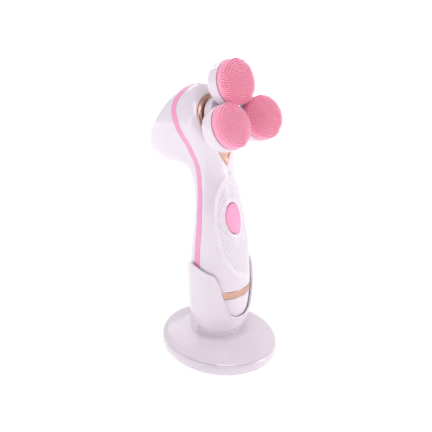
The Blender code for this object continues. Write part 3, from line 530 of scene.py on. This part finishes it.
def handset_ring(u, face_depth=FACE_DEPTH):
    front, seam, rear, width = section(u)
    angle = 2 * math.pi * (np.arange(RING_POINTS) + 0.5) / RING_POINTS
    in_front = np.sin(angle) < 0
    squareness = np.where(in_front, FRONT_SQUARENESS_AT(u)[0], REAR_SQUARENESS_AT(u)[0])
    side = squared(np.sin(angle), squareness)
    x = width * squared(np.cos(angle), squareness)
    half = np.where(in_front[:, None], seam - front, rear - seam)
    yz = seam + half * side[:, None]
    points = np.column_stack([x, yz])
    normal = np.array(FACE_NORMAL)
    back = -(points - np.array(ROTOR_ORIGIN)) @ normal
    excess = (back - face_depth) / FACE_SOFTNESS
    soft = face_depth + FACE_SOFTNESS * np.log1p(np.exp(np.clip(excess, -60.0, 30.0)))
    pushed = np.where(excess > 30.0, back, soft)
    return points - normal * (pushed - back)[:, None]


def handset_rows(first, rows, crown_rows, close_to):
    crown = CROWN_START + (LAST_STATION - CROWN_START) * np.sin(
        np.linspace(0.0, close_to, crown_rows) * math.pi / 2)
    return list(np.linspace(first, CROWN_START, rows))[:-1] + list(crown)


def grid_normals(grid):
    along = np.gradient(grid, axis=0)
    around = np.roll(grid, -1, axis=1) - np.roll(grid, 1, axis=1)
    normal = np.cross(around, along)
    return normal / np.linalg.norm(normal, axis=2, keepdims=True)


FIRST = station_of_height(BAND_TOP_Z + GAP)
outer_grid = np.array([handset_ring(u) for u in handset_rows(FIRST, 170, 40, 0.985)])
outward = grid_normals(outer_grid)
middle_axis = outer_grid.mean(axis=1, keepdims=True)
if ((outer_grid - middle_axis) * outward)[20].sum() < 0:
    outward = -outward
smooth_skin = BVHTree.FromPolygons([Vector(p) for p in outer_grid.reshape(-1, 3)],
                                   ring_faces(len(outer_grid), RING_POINTS))
sink = np.array([panel_sink(row) for row in outer_grid])
relief_grid = outer_grid - outward * sink[:, :, None]
inner_grid = np.array([handset_ring(u, FACE_DEPTH + HOUSING_WALL)
                       for u in handset_rows(FIRST, 30, 8, 0.7)])
inner_out = grid_normals(inner_grid)
if ((inner_grid - inner_grid.mean(axis=1, keepdims=True)) * inner_out)[6].sum() < 0:
    inner_out = -inner_out
inner_grid = inner_grid - inner_out * HOUSING_WALL


def seam_line():
    stations = np.linspace(FIRST - 0.2, LAST_STATION, 120)
    line = [Vector(section(u)[1]) for u in stations]
    line.insert(0, line[0] + (line[0] - line[1]).normalized() * 20.0)
    line.append(line[-1] + (line[-1] - line[-2]).normalized() * 30.0)
    widths = np.interp(stations, STRIPE_STATIONS, STRIPE_WIDTHS)
    return line, np.concatenate([widths[:1], widths, widths[-1:]]) / 2


def offset_line(line, shifts):
    moved = []
    for i, point in enumerate(line):
        ahead = line[min(i + 1, len(line) - 1)] - line[max(i - 1, 0)]
        ahead.normalize()
        moved.append(tuple(point + Vector((ahead[1], -ahead[0])) * float(shifts[i])))
    return moved


SIDE_FRAME = Matrix(((0, 0, 1, 0), (1, 0, 0, 0), (0, 1, 0, 0), (0, 0, 0, 1)))
FACE_FRAME = frame_at(ROTOR_ORIGIN, FACE_NORMAL)
LINE, HALF_STRIPE = seam_line()


def side_prism(outline):
    return prism("cutter", outline, -CUT_HALF_X, CUT_HALF_X, white, SIDE_FRAME)


def shell(name, look):
    return loft(name, list(relief_grid[::-1]) + list(inner_grid), look)


def trim_loops(grow, hole_shrink):
    radius = TRIM_RADIUS + grow
    tip = -TRIM_TIP - 1.6 * grow
    lean = math.asin(radius / (-TRIM_DROP - tip))
    outer = []
    inner = []
    for j in range(TRIM_POINTS):
        angle = -math.pi / 2 + 2 * math.pi * j / TRIM_POINTS
        from_tip = abs((angle + math.pi / 2 + math.pi) % (2 * math.pi) - math.pi)
        distance = radius
        if from_tip < math.pi / 2 - lean:
            distance = radius / math.cos(math.pi / 2 - lean - from_tip)
        outer.append((distance * math.cos(angle), -TRIM_DROP + distance * math.sin(angle)))
        hole = TRIM_HOLE - hole_shrink
        inner.append((hole * math.cos(angle), -TRIM_DROP + hole * math.sin(angle)))
    return outer, inner


def surface_depth(x, up):
    start = ROTOR_ORIGIN + Vector((x, 0.0, 0.0)) + FACE_UP * up + FACE_NORMAL * 20.0
    place = smooth_skin.ray_cast(start, -FACE_NORMAL)[0]
    return (start - place).dot(FACE_NORMAL) - 20.0


def trim_body(name, grow, hole_shrink, top_profile, under_profile, look):
    """Ring that follows the skin; profiles are (share from hole to edge, height above skin)."""
    outer, inner = trim_loops(grow, hole_shrink)
    rings = []
    for share, rise in top_profile + under_profile:
        ring = []
        for (ox, oy), (ix, iy) in zip(outer, inner):
            x = ix + (ox - ix) * share
            up = iy + (oy - iy) * share
            ring.append((x, up, rise - surface_depth(x, up)))
        rings.append(ring)
    return loft(name, rings, look, FACE_FRAME, wrap=True, sharp=50.0)


def press_frame():
    front = FRONT_AT(station_of_height(BUTTON_Z))
    return frame_at((0.0, front[0], front[1]), -PRESS_AXIS)


# front and rear housings and the stripe between them
front_edge = offset_line(LINE, -HALF_STRIPE - GAP / 2)
front = shell("front_housing_shell", white_grip)
apply_boolean(front, side_prism(front_edge + [(CUT_FRONT_Y, front_edge[-1][1]),
                                              (CUT_FRONT_Y, front_edge[0][1])]), "INTERSECT")
recess = trim_body("cutter", 0.15, 0.15, [(s, 4.0) for s in np.linspace(0, 1, 9)],
                   [(s, -1.3) for s in np.linspace(1, 0, 9)], white)
apply_boolean(front, recess, "DIFFERENCE")
hole = turned("cutter", ((0.0, -30.0), (SHAFT_HOLE_RADIUS, -30.0), (SHAFT_HOLE_RADIUS, -10.0),
                         (0.0, -10.0)), white, FACE_FRAME)
apply_boolean(front, hole, "DIFFERENCE")
press = press_frame()
well = prism("cutter", oval(BUTTON_HALF_WIDTH + 0.4, BUTTON_HALF_HEIGHT + 0.4), -7.0, 7.0,
             white, press)
apply_boolean(front, well, "DIFFERENCE")
dish = loft("cutter", [[(x * k, y * k, h) for x, y in oval(BUTTON_HALF_WIDTH + 0.4,
                                                           BUTTON_HALF_HEIGHT + 0.4)]
                       for k, h in ((0.98, -1.4), (1.05, -0.75), (1.12, -0.2), (1.2, 0.6),
                                    (1.3, 2.5))], white, press)
apply_boolean(front, dish, "DIFFERENCE")
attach(finish_piece(front), "handset")
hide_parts("front_housing")

rear_edge = offset_line(LINE, HALF_STRIPE + GAP / 2)
rear = shell("rear_housing_shell", white)
apply_boolean(rear, side_prism(rear_edge + [(CUT_REAR_Y, rear_edge[-1][1]),
                                            (CUT_REAR_Y, rear_edge[0][1])]), "INTERSECT")
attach(finish_piece(rear), "handset")
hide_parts("rear_housing")

stripe = shell("seam_stripe", stripe_pink)
left_edge = offset_line(LINE, -HALF_STRIPE + GAP / 4)
right_edge = offset_line(LINE, HALF_STRIPE - GAP / 4)
apply_boolean(stripe, side_prism(left_edge + right_edge[::-1]), "INTERSECT")
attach(finish_piece(stripe), "handset")
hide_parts("seam_band")

# teardrop trim: bevelled outer lip, a fine groove, and a face that dips to the opening
TRIM_TOP = [(0.0, -0.5), (0.02, 0.05), (0.10, 0.22), (0.35, 0.36), (0.60, 0.45), (0.70, 0.46),
            (0.745, 0.10), (0.79, 0.10), (0.83, 0.55), (0.88, 0.68), (0.94, 0.55), (0.985, 0.25),
            (1.0, -0.1)]
TRIM_UNDER = [(1.0, -0.9), (0.5, -0.9), (0.0, -0.9)]
trim = trim_body("teardrop_trim_ring", 0.0, 0.0, TRIM_TOP, TRIM_UNDER, rose_gold)
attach(trim, "handset")
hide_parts("teardrop_trim")


# ---- lower handle ----------------------------------------------------------------------------
def shrunk(ring, wall):
    middle = ring.mean(axis=0)
    away = ring - middle
    length = np.linalg.norm(away, axis=1, keepdims=True)
    return middle + away * (1.0 - wall / length)


def level_ring(z, outset=0.0):
    return shrunk(handset_ring(station_of_height(z)), -outset)


band_rings = [level_ring(z, out) for z, out in (
    (BAND_BOTTOM_Z + GAP, -0.15), (BAND_BOTTOM_Z + GAP + 0.25, 0.1), (51.2, 0.16), (53.5, 0.16),
    (BAND_TOP_Z - 0.25, 0.1), (BAND_TOP_Z, -0.15))]
band_rings += [shrunk(ring, 1.6) for ring in (band_rings[4], band_rings[1])]
band = loft("lower_band_ring", band_rings, rose_gold, wrap=True)
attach(band, "handset")
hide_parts("lower_band")

cap_heights = [18.0, 18.6, 19.4, 20.4, 21.6, 23.0, 25.0, 27.5, 30.5, 34.0, 38.0, 42.0, 46.0,
               BAND_BOTTOM_Z - 0.3]
cap_rings = [shrunk(level_ring(18.0), 6.0)]
cap_rings += [level_ring(z) for z in cap_heights]
cap_rings.append(level_ring(BAND_BOTTOM_Z, -0.3))
cap_rings += [shrunk(level_ring(z), 1.8) for z in (BAND_BOTTOM_Z, 40.0, 30.0, 20.0)]
cap = loft("end_cap_shell", cap_rings, white)
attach(cap, "handset")
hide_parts("end_cap")


# ---- charging stand --------------------------------------------------------------------------
STAND_TURN = 2 * np.pi * np.arange(STAND_POINTS) / STAND_POINTS
REACH_HEIGHTS = np.linspace(HANDSET_FOOT_Z, 80.0, 125)
HANDLE_ROWS = [section(station_of_height(z)) for z in REACH_HEIGHTS]
FRONT_REACH = np.minimum.accumulate([row[0][0] for row in HANDLE_ROWS])
REAR_REACH = np.maximum.accumulate([row[2][0] for row in HANDLE_ROWS])
WIDTH_REACH = np.maximum.accumulate([row[3] for row in HANDLE_ROWS])
SEAM_PLACE = np.array([row[1][0] for row in HANDLE_ROWS])


def foot_ring(inset, z):
    return np.column_stack([(FOOT_HALF_X - inset) * np.cos(STAND_TURN),
                            (FOOT_HALF_Y - inset) * np.sin(STAND_TURN), np.full(STAND_POINTS, z)])


def disc_ring(radius, z):
    return np.column_stack([radius * np.cos(STAND_TURN), radius * np.sin(STAND_TURN),
                            np.full(STAND_POINTS, z)])


def dome_ring(reach, z):
    edge = foot_ring(FOOT_GROOVE_INSET, 0.0)
    radius = np.hypot(edge[:, 0], edge[:, 1])
    scale = (CUP_JOINT_RADIUS + (radius - CUP_JOINT_RADIUS) * reach) / radius
    return np.column_stack([edge[:, 0] * scale, edge[:, 1] * scale, np.full(STAND_POINTS, z)])


def rim_heights():
    from_front = np.abs((np.degrees(STAND_TURN) + 90.0 + 180.0) % 360.0 - 180.0)
    return (RIM_NOTCH_Z + RIM_LIP_RISE * smooth_step(from_front, 8.0, 34.0)
            + RIM_SIDE_RISE * smooth_step(from_front, 24.0, 58.0)
            + RIM_BACK_RISE * smooth_step(from_front, 55.0, 100.0)
            - RIM_REAR_DIP * smooth_step(from_front, 103.0, 160.0))


def cup_ring(heights, margin):
    heights = np.broadcast_to(heights, STAND_TURN.shape)
    front_at, rear_at, width_at, seam_at = (np.interp(heights, REACH_HEIGHTS, reach) for reach in
                                            (FRONT_REACH, REAR_REACH, WIDTH_REACH, SEAM_PLACE))
    side = np.sin(STAND_TURN)
    half = np.where(side < 0, seam_at - front_at, rear_at - seam_at)
    return np.column_stack([(width_at + margin) * np.cos(STAND_TURN),
                            seam_at + (half + margin) * side, heights])


RIM = rim_heights()
BOWL_TOP = 28.0
LIP_BEAD = 0.3
LIP_HALF = (CUP_WALL + LIP_BEAD) / 2
LIP_START = 2.4
CUP_OUT = CUP_CLEARANCE + CUP_WALL
SHELL_FOOT_Z = FOOT_GROOVE_Z + GAP / 2
DOME_KNOTS = ((0.0, CUP_JOINT_Z), (0.03, 13.75), (0.08, 13.5), (0.15, 13.4), (0.20, 13.45),
              (0.25, 13.3), (0.32, 12.85), (0.42, 12.45), (0.5, 12.15), (0.58, 11.65),
              (0.68, 11.0), (0.84, 9.75), (0.93, 8.8), (0.975, 8.15), (1.0, SHELL_FOOT_Z + 0.15))


def make_stand_shell():
    knots = spline_through(DOME_KNOTS)
    dome = [tuple(knots(u)) for u in np.linspace(0.0, len(DOME_KNOTS) - 1, 64)]
    under = CUP_FLOOR_Z - CUP_FLOOR
    rings = [disc_ring(5.0, under), disc_ring(13.6, under), disc_ring(14.6, under - 2.4)]
    rings += [dome_ring(reach, z) for reach, z in ((0.1, 11.6), (0.42, 10.3), (0.68, 8.9),
                                                   (0.84, 8.0))]
    rings.append(foot_ring(FOOT_GROOVE_INSET + 2.6, SHELL_FOOT_Z))
    rings.append(foot_ring(FOOT_GROOVE_INSET + 0.25, SHELL_FOOT_Z))
    rings += [dome_ring(reach, z) for reach, z in dome[::-1]]
    rings += [cup_ring(z, CUP_OUT) for z in np.concatenate([
        np.linspace(HANDSET_FOOT_Z - 1.2, 24.0, 14), np.linspace(24.6, BOWL_TOP, 6)])]
    for share in np.linspace(0.06, 0.9, 24):
        rings.append(cup_ring(BOWL_TOP + (RIM - LIP_START - BOWL_TOP) * share / 0.9, CUP_OUT))
    rings.append(cup_ring(RIM - 1.9, CUP_OUT + 0.12))
    rings.append(cup_ring(RIM - 1.3, CUP_OUT + LIP_BEAD))
    for turn in np.linspace(0.0, math.pi, 11):
        rings.append(cup_ring(RIM - 0.3 + 0.85 * math.sin(turn),
                              CUP_CLEARANCE + LIP_HALF + LIP_HALF * math.cos(turn)))
    for share in np.linspace(0.96, 0.06, 16):
        rings.append(cup_ring(BOWL_TOP + (RIM - BOWL_TOP) * share, CUP_CLEARANCE))
    rings += [cup_ring(z, CUP_CLEARANCE) for z in np.linspace(BOWL_TOP, HANDSET_FOOT_Z, 14)]
    rings.append(disc_ring(13.0, CUP_FLOOR_Z))
    rings.append(disc_ring(5.0, CUP_FLOOR_Z))
    return loft("stand_shell_body", rings, white, sharp=50.0)


stand = make_stand_shell()
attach(stand, "stand")
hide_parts("stand_shell")

cover_rings = [disc_ring(8.0, 0.0), foot_ring(3.6, 0.0)]
for turn in np.linspace(0.0, math.pi / 2, 8):
    cover_rings.append(foot_ring(2.4 * (1.0 - math.sin(turn)), 2.4 * (1.0 - math.cos(turn))))
cover_rings += [foot_ring(0.0, 3.6), foot_ring(0.25, 5.2), foot_ring(0.75, 6.5),
                foot_ring(FOOT_GROOVE_INSET - 0.15, FOOT_GROOVE_Z - GAP / 2 - 0.2),
                foot_ring(FOOT_GROOVE_INSET + 0.1, FOOT_GROOVE_Z - GAP / 2),
                foot_ring(FOOT_GROOVE_INSET + 2.2, FOOT_GROOVE_Z - GAP / 2),
                foot_ring(FOOT_GROOVE_INSET + 1.4, 2.2), disc_ring(8.0, 2.2)]
cover = loft("stand_bottom_tray", cover_rings, white)
for x in (-RUBBER_FOOT_X, RUBBER_FOOT_X):
    for y in (-RUBBER_FOOT_Y, RUBBER_FOOT_Y):
        pocket = turned("cutter", ((0.0, -2.0), (4.3, -2.0), (4.3, 1.2), (0.0, 1.2)), white,
                        Matrix.Translation(Vector((x, y, 0.0)) * MM), 48)
        apply_boolean(cover, pocket, "DIFFERENCE")
for x in (-SCREW_X, SCREW_X):
    for y in (-SCREW_Y, SCREW_Y):
        bore = turned("cutter", ((0.0, -2.0), (3.0, -2.0), (3.0, 1.4), (1.6, 1.4), (1.6, 4.0),
                                 (0.0, 4.0)), white,
                      Matrix.Translation(Vector((x, y, 0.0)) * MM), 48)
        apply_boolean(cover, bore, "DIFFERENCE")
slot_outline = [(-4.6, 2.9), (4.6, 2.9), (4.6, 6.6), (-4.6, 6.6)]
slot_cutter = loft("cutter", [[(x, y, z) for x, z in slot_outline] for y in (36.0, 50.0)], white)
apply_boolean(cover, slot_cutter, "DIFFERENCE")
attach(finish_piece(cover), "stand")
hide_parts("stand_bottom_cover")


# ---- button ----------------------------------------------------------------------------------
def make_button():
    rings = []
    for scale, height in ((0.5, -2.2), (0.985, -2.2), (1.0, -2.0), (1.0, -0.55), (0.985, -0.30),
                          (0.955, -0.14), (0.90, -0.05), (0.75, 0.04), (0.5, 0.12), (0.25, 0.16),
                          (0.05, 0.17)):
        ring = []
        for x, y in oval(BUTTON_HALF_WIDTH * scale, BUTTON_HALF_HEIGHT * scale):
            sag = x * x / 46.0 if height > -2.0 else 0.0
            ring.append((x, y, height - sag))
        rings.append(ring)
    return loft("power_button_cap", rings, button_pink, press)


button = make_button()
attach(button, "button")
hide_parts("power_button")


# ---- rotor -----------------------------------------------------------------------------------
CARRIER_POINTS = 240


def carrier_ring(shrink, height):
    """Outline of the hub with its three round-ended arms."""
    angle = 2 * np.pi * np.arange(CARRIER_POINTS) / CARRIER_POINTS
    third = 2 * math.pi / 3
    from_arm = (angle - math.pi / 2 + third / 2) % third - third / 2
    end = ARM_REACH - ARM_HALF_WIDTH
    half = ARM_HALF_WIDTH - shrink
    aside = end * np.abs(np.sin(from_arm))
    tip = end * np.cos(from_arm) + np.sqrt(np.maximum(0.0, half ** 2 - aside ** 2))
    flank = half / np.maximum(np.abs(np.sin(from_arm)), 1e-6)
    reach = np.where(aside < half, tip, flank)
    radius = np.maximum(HUB_RADIUS - shrink, reach)
    return np.column_stack([radius * np.cos(angle), radius * np.sin(angle),
                            np.full(CARRIER_POINTS, height)])


def round_ring(radius, height):
    turn = 2 * np.pi * np.arange(CARRIER_POINTS) / CARRIER_POINTS
    return np.column_stack([radius * np.cos(turn), radius * np.sin(turn),
                            np.full(CARRIER_POINTS, height)])


ceiling = -CARRIER_FRONT - CARRIER_WALL
pocket = HUB_RADIUS - CARRIER_WALL
carrier_rings = [round_ring(1.0, ceiling), round_ring(pocket, ceiling),
                 round_ring(pocket, -CARRIER_HUB_BACK + 0.2),
                 round_ring(pocket + 0.2, -CARRIER_HUB_BACK),
                 round_ring(HUB_RADIUS - 0.5, -CARRIER_HUB_BACK),
                 round_ring(HUB_RADIUS - 0.15, -CARRIER_HUB_BACK + 0.15),
                 round_ring(HUB_RADIUS, -CARRIER_HUB_BACK + 0.5),
                 round_ring(HUB_RADIUS, -CARRIER_ARM_BACK),
                 carrier_ring(0.3, -CARRIER_ARM_BACK), carrier_ring(0.0, -CARRIER_ARM_BACK + 0.3)]
for turn in np.linspace(0.0, math.pi / 2, 7):
    carrier_rings.append(carrier_ring(1.2 * (1.0 - math.cos(turn)),
                                      -CARRIER_FRONT - 1.2 * (1.0 - math.sin(turn))))
carrier_rings.append(round_ring(1.0, -CARRIER_FRONT))
carrier = loft("rotor_carrier_disc", carrier_rings, white, FACE_FRAME)
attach(carrier, "rotor")
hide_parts("rotor_carrier")


def brush_frame(angle):
    turn = math.radians(angle)
    outward_axis = Vector((math.cos(turn), math.sin(turn), 0.0))
    lean = math.radians(BRUSH_TILT)
    axis = Vector((0.0, 0.0, 1.0)) * math.cos(lean) - outward_axis * math.sin(lean)
    local = frame_at(tuple(outward_axis * BRUSH_RING), tuple(axis),
                     (-outward_axis.y, outward_axis.x, 0.0))
    return FACE_FRAME @ local


CUP_OUTLINE = rounded(((1.9, -9.1), (1.9, -11.2), (9.6, -11.2), (11.9, -10.5), (13.4, -9.0),
                       (14.1, -7.0), (14.6, -3.6), (14.8, 0.0), (13.7, 0.0), (13.3, -3.4),
                       (12.6, -6.4), (11.2, -8.4), (9.0, -9.1)), 5, 1.0)

# Skirt and dome of a silicone pad; the nubs stand on the dome.
PAD_SKIN = ((0.0, -6.0), (10.3, -6.0), (12.5, -3.0), (13.1, 0.3), (13.35, 0.35), (14.25, 0.5),
            (14.45, 0.9), (14.5, 1.4), (14.42, 2.4), (14.2, 3.2), (13.7, 3.9), (13.0, 4.6),
            (12.1, 5.3), (11.0, 5.95), (9.7, 6.55), (8.2, 7.05), (6.5, 7.45), (4.6, 7.75),
            (2.4, 7.93), (0.0, 8.0))
DOME_START = 8
NUB_RINGS = 11
NUB_FIELD_RADIUS = 13.6
NUB_PITCH = 1.42
NUB_SIDES = 7
# Nub profile rows: radius, height, and weight of the painted tip light (paler pink painted on the
# nub tops).
NUB_PROFILE = ((0.50, -0.15, 0.0), (0.42, 0.5, 0.0), (0.32, 1.3, 0.15), (0.25, 2.2, 0.55),
               (0.20, 2.9, 0.95), (0.10, 3.1, 1.0))


def dome_height(radius):
    rim = PAD_SKIN[DOME_START:]
    return np.interp(radius, [p[0] for p in rim[::-1]], [p[1] for p in rim[::-1]])


def dome_lean(radius):
    step = 0.2
    return (dome_height(radius + step) - dome_height(max(0.0, radius - step))) / (2 * step)


def make_pad(label, matrix):
    pad = turned(f"brush_pad_{label}_silicone", PAD_SKIN, silicone, matrix, 72, 60.0)
    points = []
    faces = []
    tip_light_weights = []
    for ring in range(NUB_RINGS + 1):
        radius = NUB_FIELD_RADIUS * ring / NUB_RINGS
        count = max(1, round(2 * math.pi * radius / NUB_PITCH))
        slope = float(np.clip(dome_lean(radius), -1.2, 0.0))
        height = float(dome_height(radius))
        length_share = 1.0 - 0.15 * (ring / NUB_RINGS) ** 3
        for j in range(count):
            angle = 2 * math.pi * (j + 0.5 * (ring % 2)) / count
            out = Vector((math.cos(angle), math.sin(angle), 0.0))
            root = out * radius + Vector((0.0, 0.0, height))
            axis = (Vector((0.0, 0.0, 1.0)) - out * slope * 0.2).normalized()
            side = axis.cross(Vector((-out.y, out.x, 0.0))).normalized()
            cross = axis.cross(side)
            start = len(points)
            for wide, high, tip in NUB_PROFILE:
                for k in range(NUB_SIDES):
                    turn = 2 * math.pi * k / NUB_SIDES
                    place = (root + axis * high * length_share
                             + (side * math.cos(turn) + cross * math.sin(turn)) * wide)
                    points.append(tuple(place))
                    tip_light_weights.append(tip)
            for level in range(len(NUB_PROFILE) - 1):
                a = start + level * NUB_SIDES
                for k in range(NUB_SIDES):
                    m = (k + 1) % NUB_SIDES
                    faces.append((a + k, a + m, a + NUB_SIDES + m, a + NUB_SIDES + k))
            last = start + (len(NUB_PROFILE) - 1) * NUB_SIDES
            faces.append(tuple(range(last, last + NUB_SIDES)))
            faces.append(tuple(range(start, start + NUB_SIDES))[::-1])
    mesh = bpy.data.meshes.new("nubs")
    mesh.from_pydata([tuple(c * MM for c in p) for p in points], [], faces)
    mesh.transform(matrix)
    mesh.shade_smooth()
    base = pad.data
    base_points = [tuple(v.co) for v in base.vertices]
    base_faces = [tuple(p.vertices) for p in base.polygons]
    shift = len(base_points)
    joined = bpy.data.meshes.new(pad.name)
    joined.from_pydata(base_points + [tuple(v.co) for v in mesh.vertices], [],
                       base_faces + [tuple(i + shift for i in f) for f in faces])
    joined.materials.append(silicone)
    joined.shade_smooth()
    joined.set_sharp_from_angle(angle=math.radians(60.0))
    # The "tip" attribute holds the painted tip-light weights: 0 on the skin, up to 1 at each nub
    # top.
    layer = joined.attributes.new("tip", "FLOAT", "POINT")
    layer.data.foreach_set("value", [0.0] * shift + tip_light_weights)
    pad.data = joined
    bpy.data.meshes.remove(mesh)
    return pad


for label, angle in BRUSH_ANGLES.items():
    matrix = brush_frame(angle)
    cup = turned(f"brush_cup_{label}_bowl", CUP_OUTLINE, white, matrix)
    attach(cup, f"brush_{label}")
    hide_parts(f"brush_cup_{label}")
    pad = make_pad(label, matrix)
    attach(pad, f"brush_{label}")
    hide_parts(f"brush_pad_{label}")

# ---- CAD pieces that stay as they are, with their materials ----------------------------------
LOOKS = {
    "grey_rubber": rubber, "steel": steel, "copper": copper, "ferrite": ferrite,
    "circuit_board": board, "battery_wrap": cell, "acetal": acetal, "bronze": bronze,
    "black_plastic": black, "white_abs": white, "pink_stripe": stripe_pink,
    "pink_button": button_pink, "pink_silicone": silicone, "rose_gold": rose_gold,
}
for part in frame["record"]["subparts"]:
    node = NODES[part["node"]]
    node.data.materials.clear()
    node.data.materials.append(LOOKS[part["material_slot"]])


# ---- floor, light and camera -----------------------------------------------------------------
FLOOR_HALF = 4.0               # metres


def floor_material():
    made, tree, shader = node_material("pale_floor")
    tree.links.new(mix_colour(tree, spread(tree, noise_node(tree, 3.0), 0.0, 1.0),
                              (0.94, 0.94, 0.94), (0.96, 0.96, 0.96)), shader.inputs["Base Color"])
    shader.inputs["Emission Color"].default_value = (1.0, 1.0, 1.0, 1.0)
    place = tree.nodes.new("ShaderNodeTexCoord")
    far = tree.nodes.new("ShaderNodeVectorMath")
    far.operation = "LENGTH"
    tree.links.new(place.outputs["Object"], far.inputs[0])
    glow = tree.nodes.new("ShaderNodeMapRange")
    tree.links.new(far.outputs["Value"], glow.inputs["Value"])
    for socket, amount in (("From Min", 0.15), ("From Max", 1.6), ("To Min", 0.28),
                           ("To Max", 1.0)):
        glow.inputs[socket].default_value = amount
    tree.links.new(glow.outputs[0], shader.inputs["Emission Strength"])
    tree.links.new(spread(tree, noise_node(tree, 12.0), 0.55, 0.7), shader.inputs["Roughness"])
    tree.links.new(bump_node(tree, noise_node(tree, 150.0), 0.02, 0.0001), shader.inputs["Normal"])
    return made


def make_floor():
    half = FLOOR_HALF
    mesh = bpy.data.meshes.new("floor")
    mesh.from_pydata([(-half, -half, 0.0), (half, -half, 0.0), (half, half, 0.0),
                      (-half, half, 0.0)], [], [(0, 1, 2, 3)])
    made = bpy.data.objects.new("floor", mesh)
    bpy.context.scene.collection.objects.link(made)
    mesh.materials.append(floor_material())
    return made


floor = make_floor()


def make_world():
    """Pale studio surround, darker on the side where the camera stands."""
    made = bpy.data.worlds.new("studio")
    made.use_nodes = True
    tree = made.node_tree
    place = tree.nodes.new("ShaderNodeTexCoord")
    side = tree.nodes.new("ShaderNodeVectorMath")
    side.operation = "DOT_PRODUCT"
    tree.links.new(place.outputs["Generated"], side.inputs[0])
    side.inputs[1].default_value = (-0.64, -0.66, 0.1)
    ramp = tree.nodes.new("ShaderNodeMapRange")
    ramp.interpolation_type = "SMOOTHSTEP"
    tree.links.new(side.outputs["Value"], ramp.inputs["Value"])
    for socket, amount in (("From Min", 0.30), ("From Max", 0.95), ("To Min", 0.66),
                           ("To Max", 0.28)):
        ramp.inputs[socket].default_value = amount
    backdrop = tree.nodes["Background"]
    backdrop.inputs["Color"].default_value = (1.0, 0.985, 1.0, 1.0)
    tree.links.new(ramp.outputs[0], backdrop.inputs["Strength"])
    return made


bpy.context.scene.world = make_world()
bpy.context.scene.view_settings.view_transform = "Standard"


LIGHT_TARGET = (0.0, 0.0, 0.11)


def area_light(name, place, size, power):
    data = bpy.data.lights.new(name, "AREA")
    data.shape = "RECTANGLE"
    data.size, data.size_y = size
    data.energy = power
    made = bpy.data.objects.new(name, data)
    bpy.context.scene.collection.objects.link(made)
    made.location = place
    made.rotation_euler = (Vector(LIGHT_TARGET) - Vector(place)).to_track_quat("-Z", "Y").to_euler()
    return made


area_light("key_left", (-0.95, 0.05, 0.55), (0.25, 0.9), 1.2)
area_light("fill_right", (0.55, -0.85, 0.45), (0.35, 0.9), 3.5)
area_light("top", (-0.25, -0.25, 0.95), (0.35, 0.35), 1.5)
area_light("rear", (0.4, 0.8, 0.7), (0.6, 0.6), 1.3)
area_light("strip", (-0.42, 0.12, 0.22), (0.02, 0.35), 0.12)

CAMERA_AZIMUTH = -45.5
CAMERA_ELEVATION = 23.8
CAMERA_DISTANCE = 0.4235
CAMERA_LENS = 50.42
SENSOR_WIDTH = 36.0
CAMERA_TARGET = Vector((-0.00151, 0.00154, 0.1043))
azimuth = math.radians(CAMERA_AZIMUTH)
elevation = math.radians(CAMERA_ELEVATION)
back_axis = Vector((math.sin(azimuth) * math.cos(elevation),
                    -math.cos(azimuth) * math.cos(elevation), math.sin(elevation)))
right_axis = Vector((math.cos(azimuth), math.sin(azimuth), 0.0))
up_axis = back_axis.cross(right_axis)
camera_data = bpy.data.cameras.new("camera")
camera_data.sensor_width = SENSOR_WIDTH
camera_data.lens = CAMERA_LENS
camera = bpy.data.objects.new("camera", camera_data)
bpy.context.scene.collection.objects.link(camera)
turned_axes = Matrix((right_axis, up_axis, back_axis)).transposed().to_4x4()
turned_axes.translation = CAMERA_TARGET + back_axis * CAMERA_DISTANCE
camera.matrix_world = turned_axes
bpy.context.scene.camera = camera
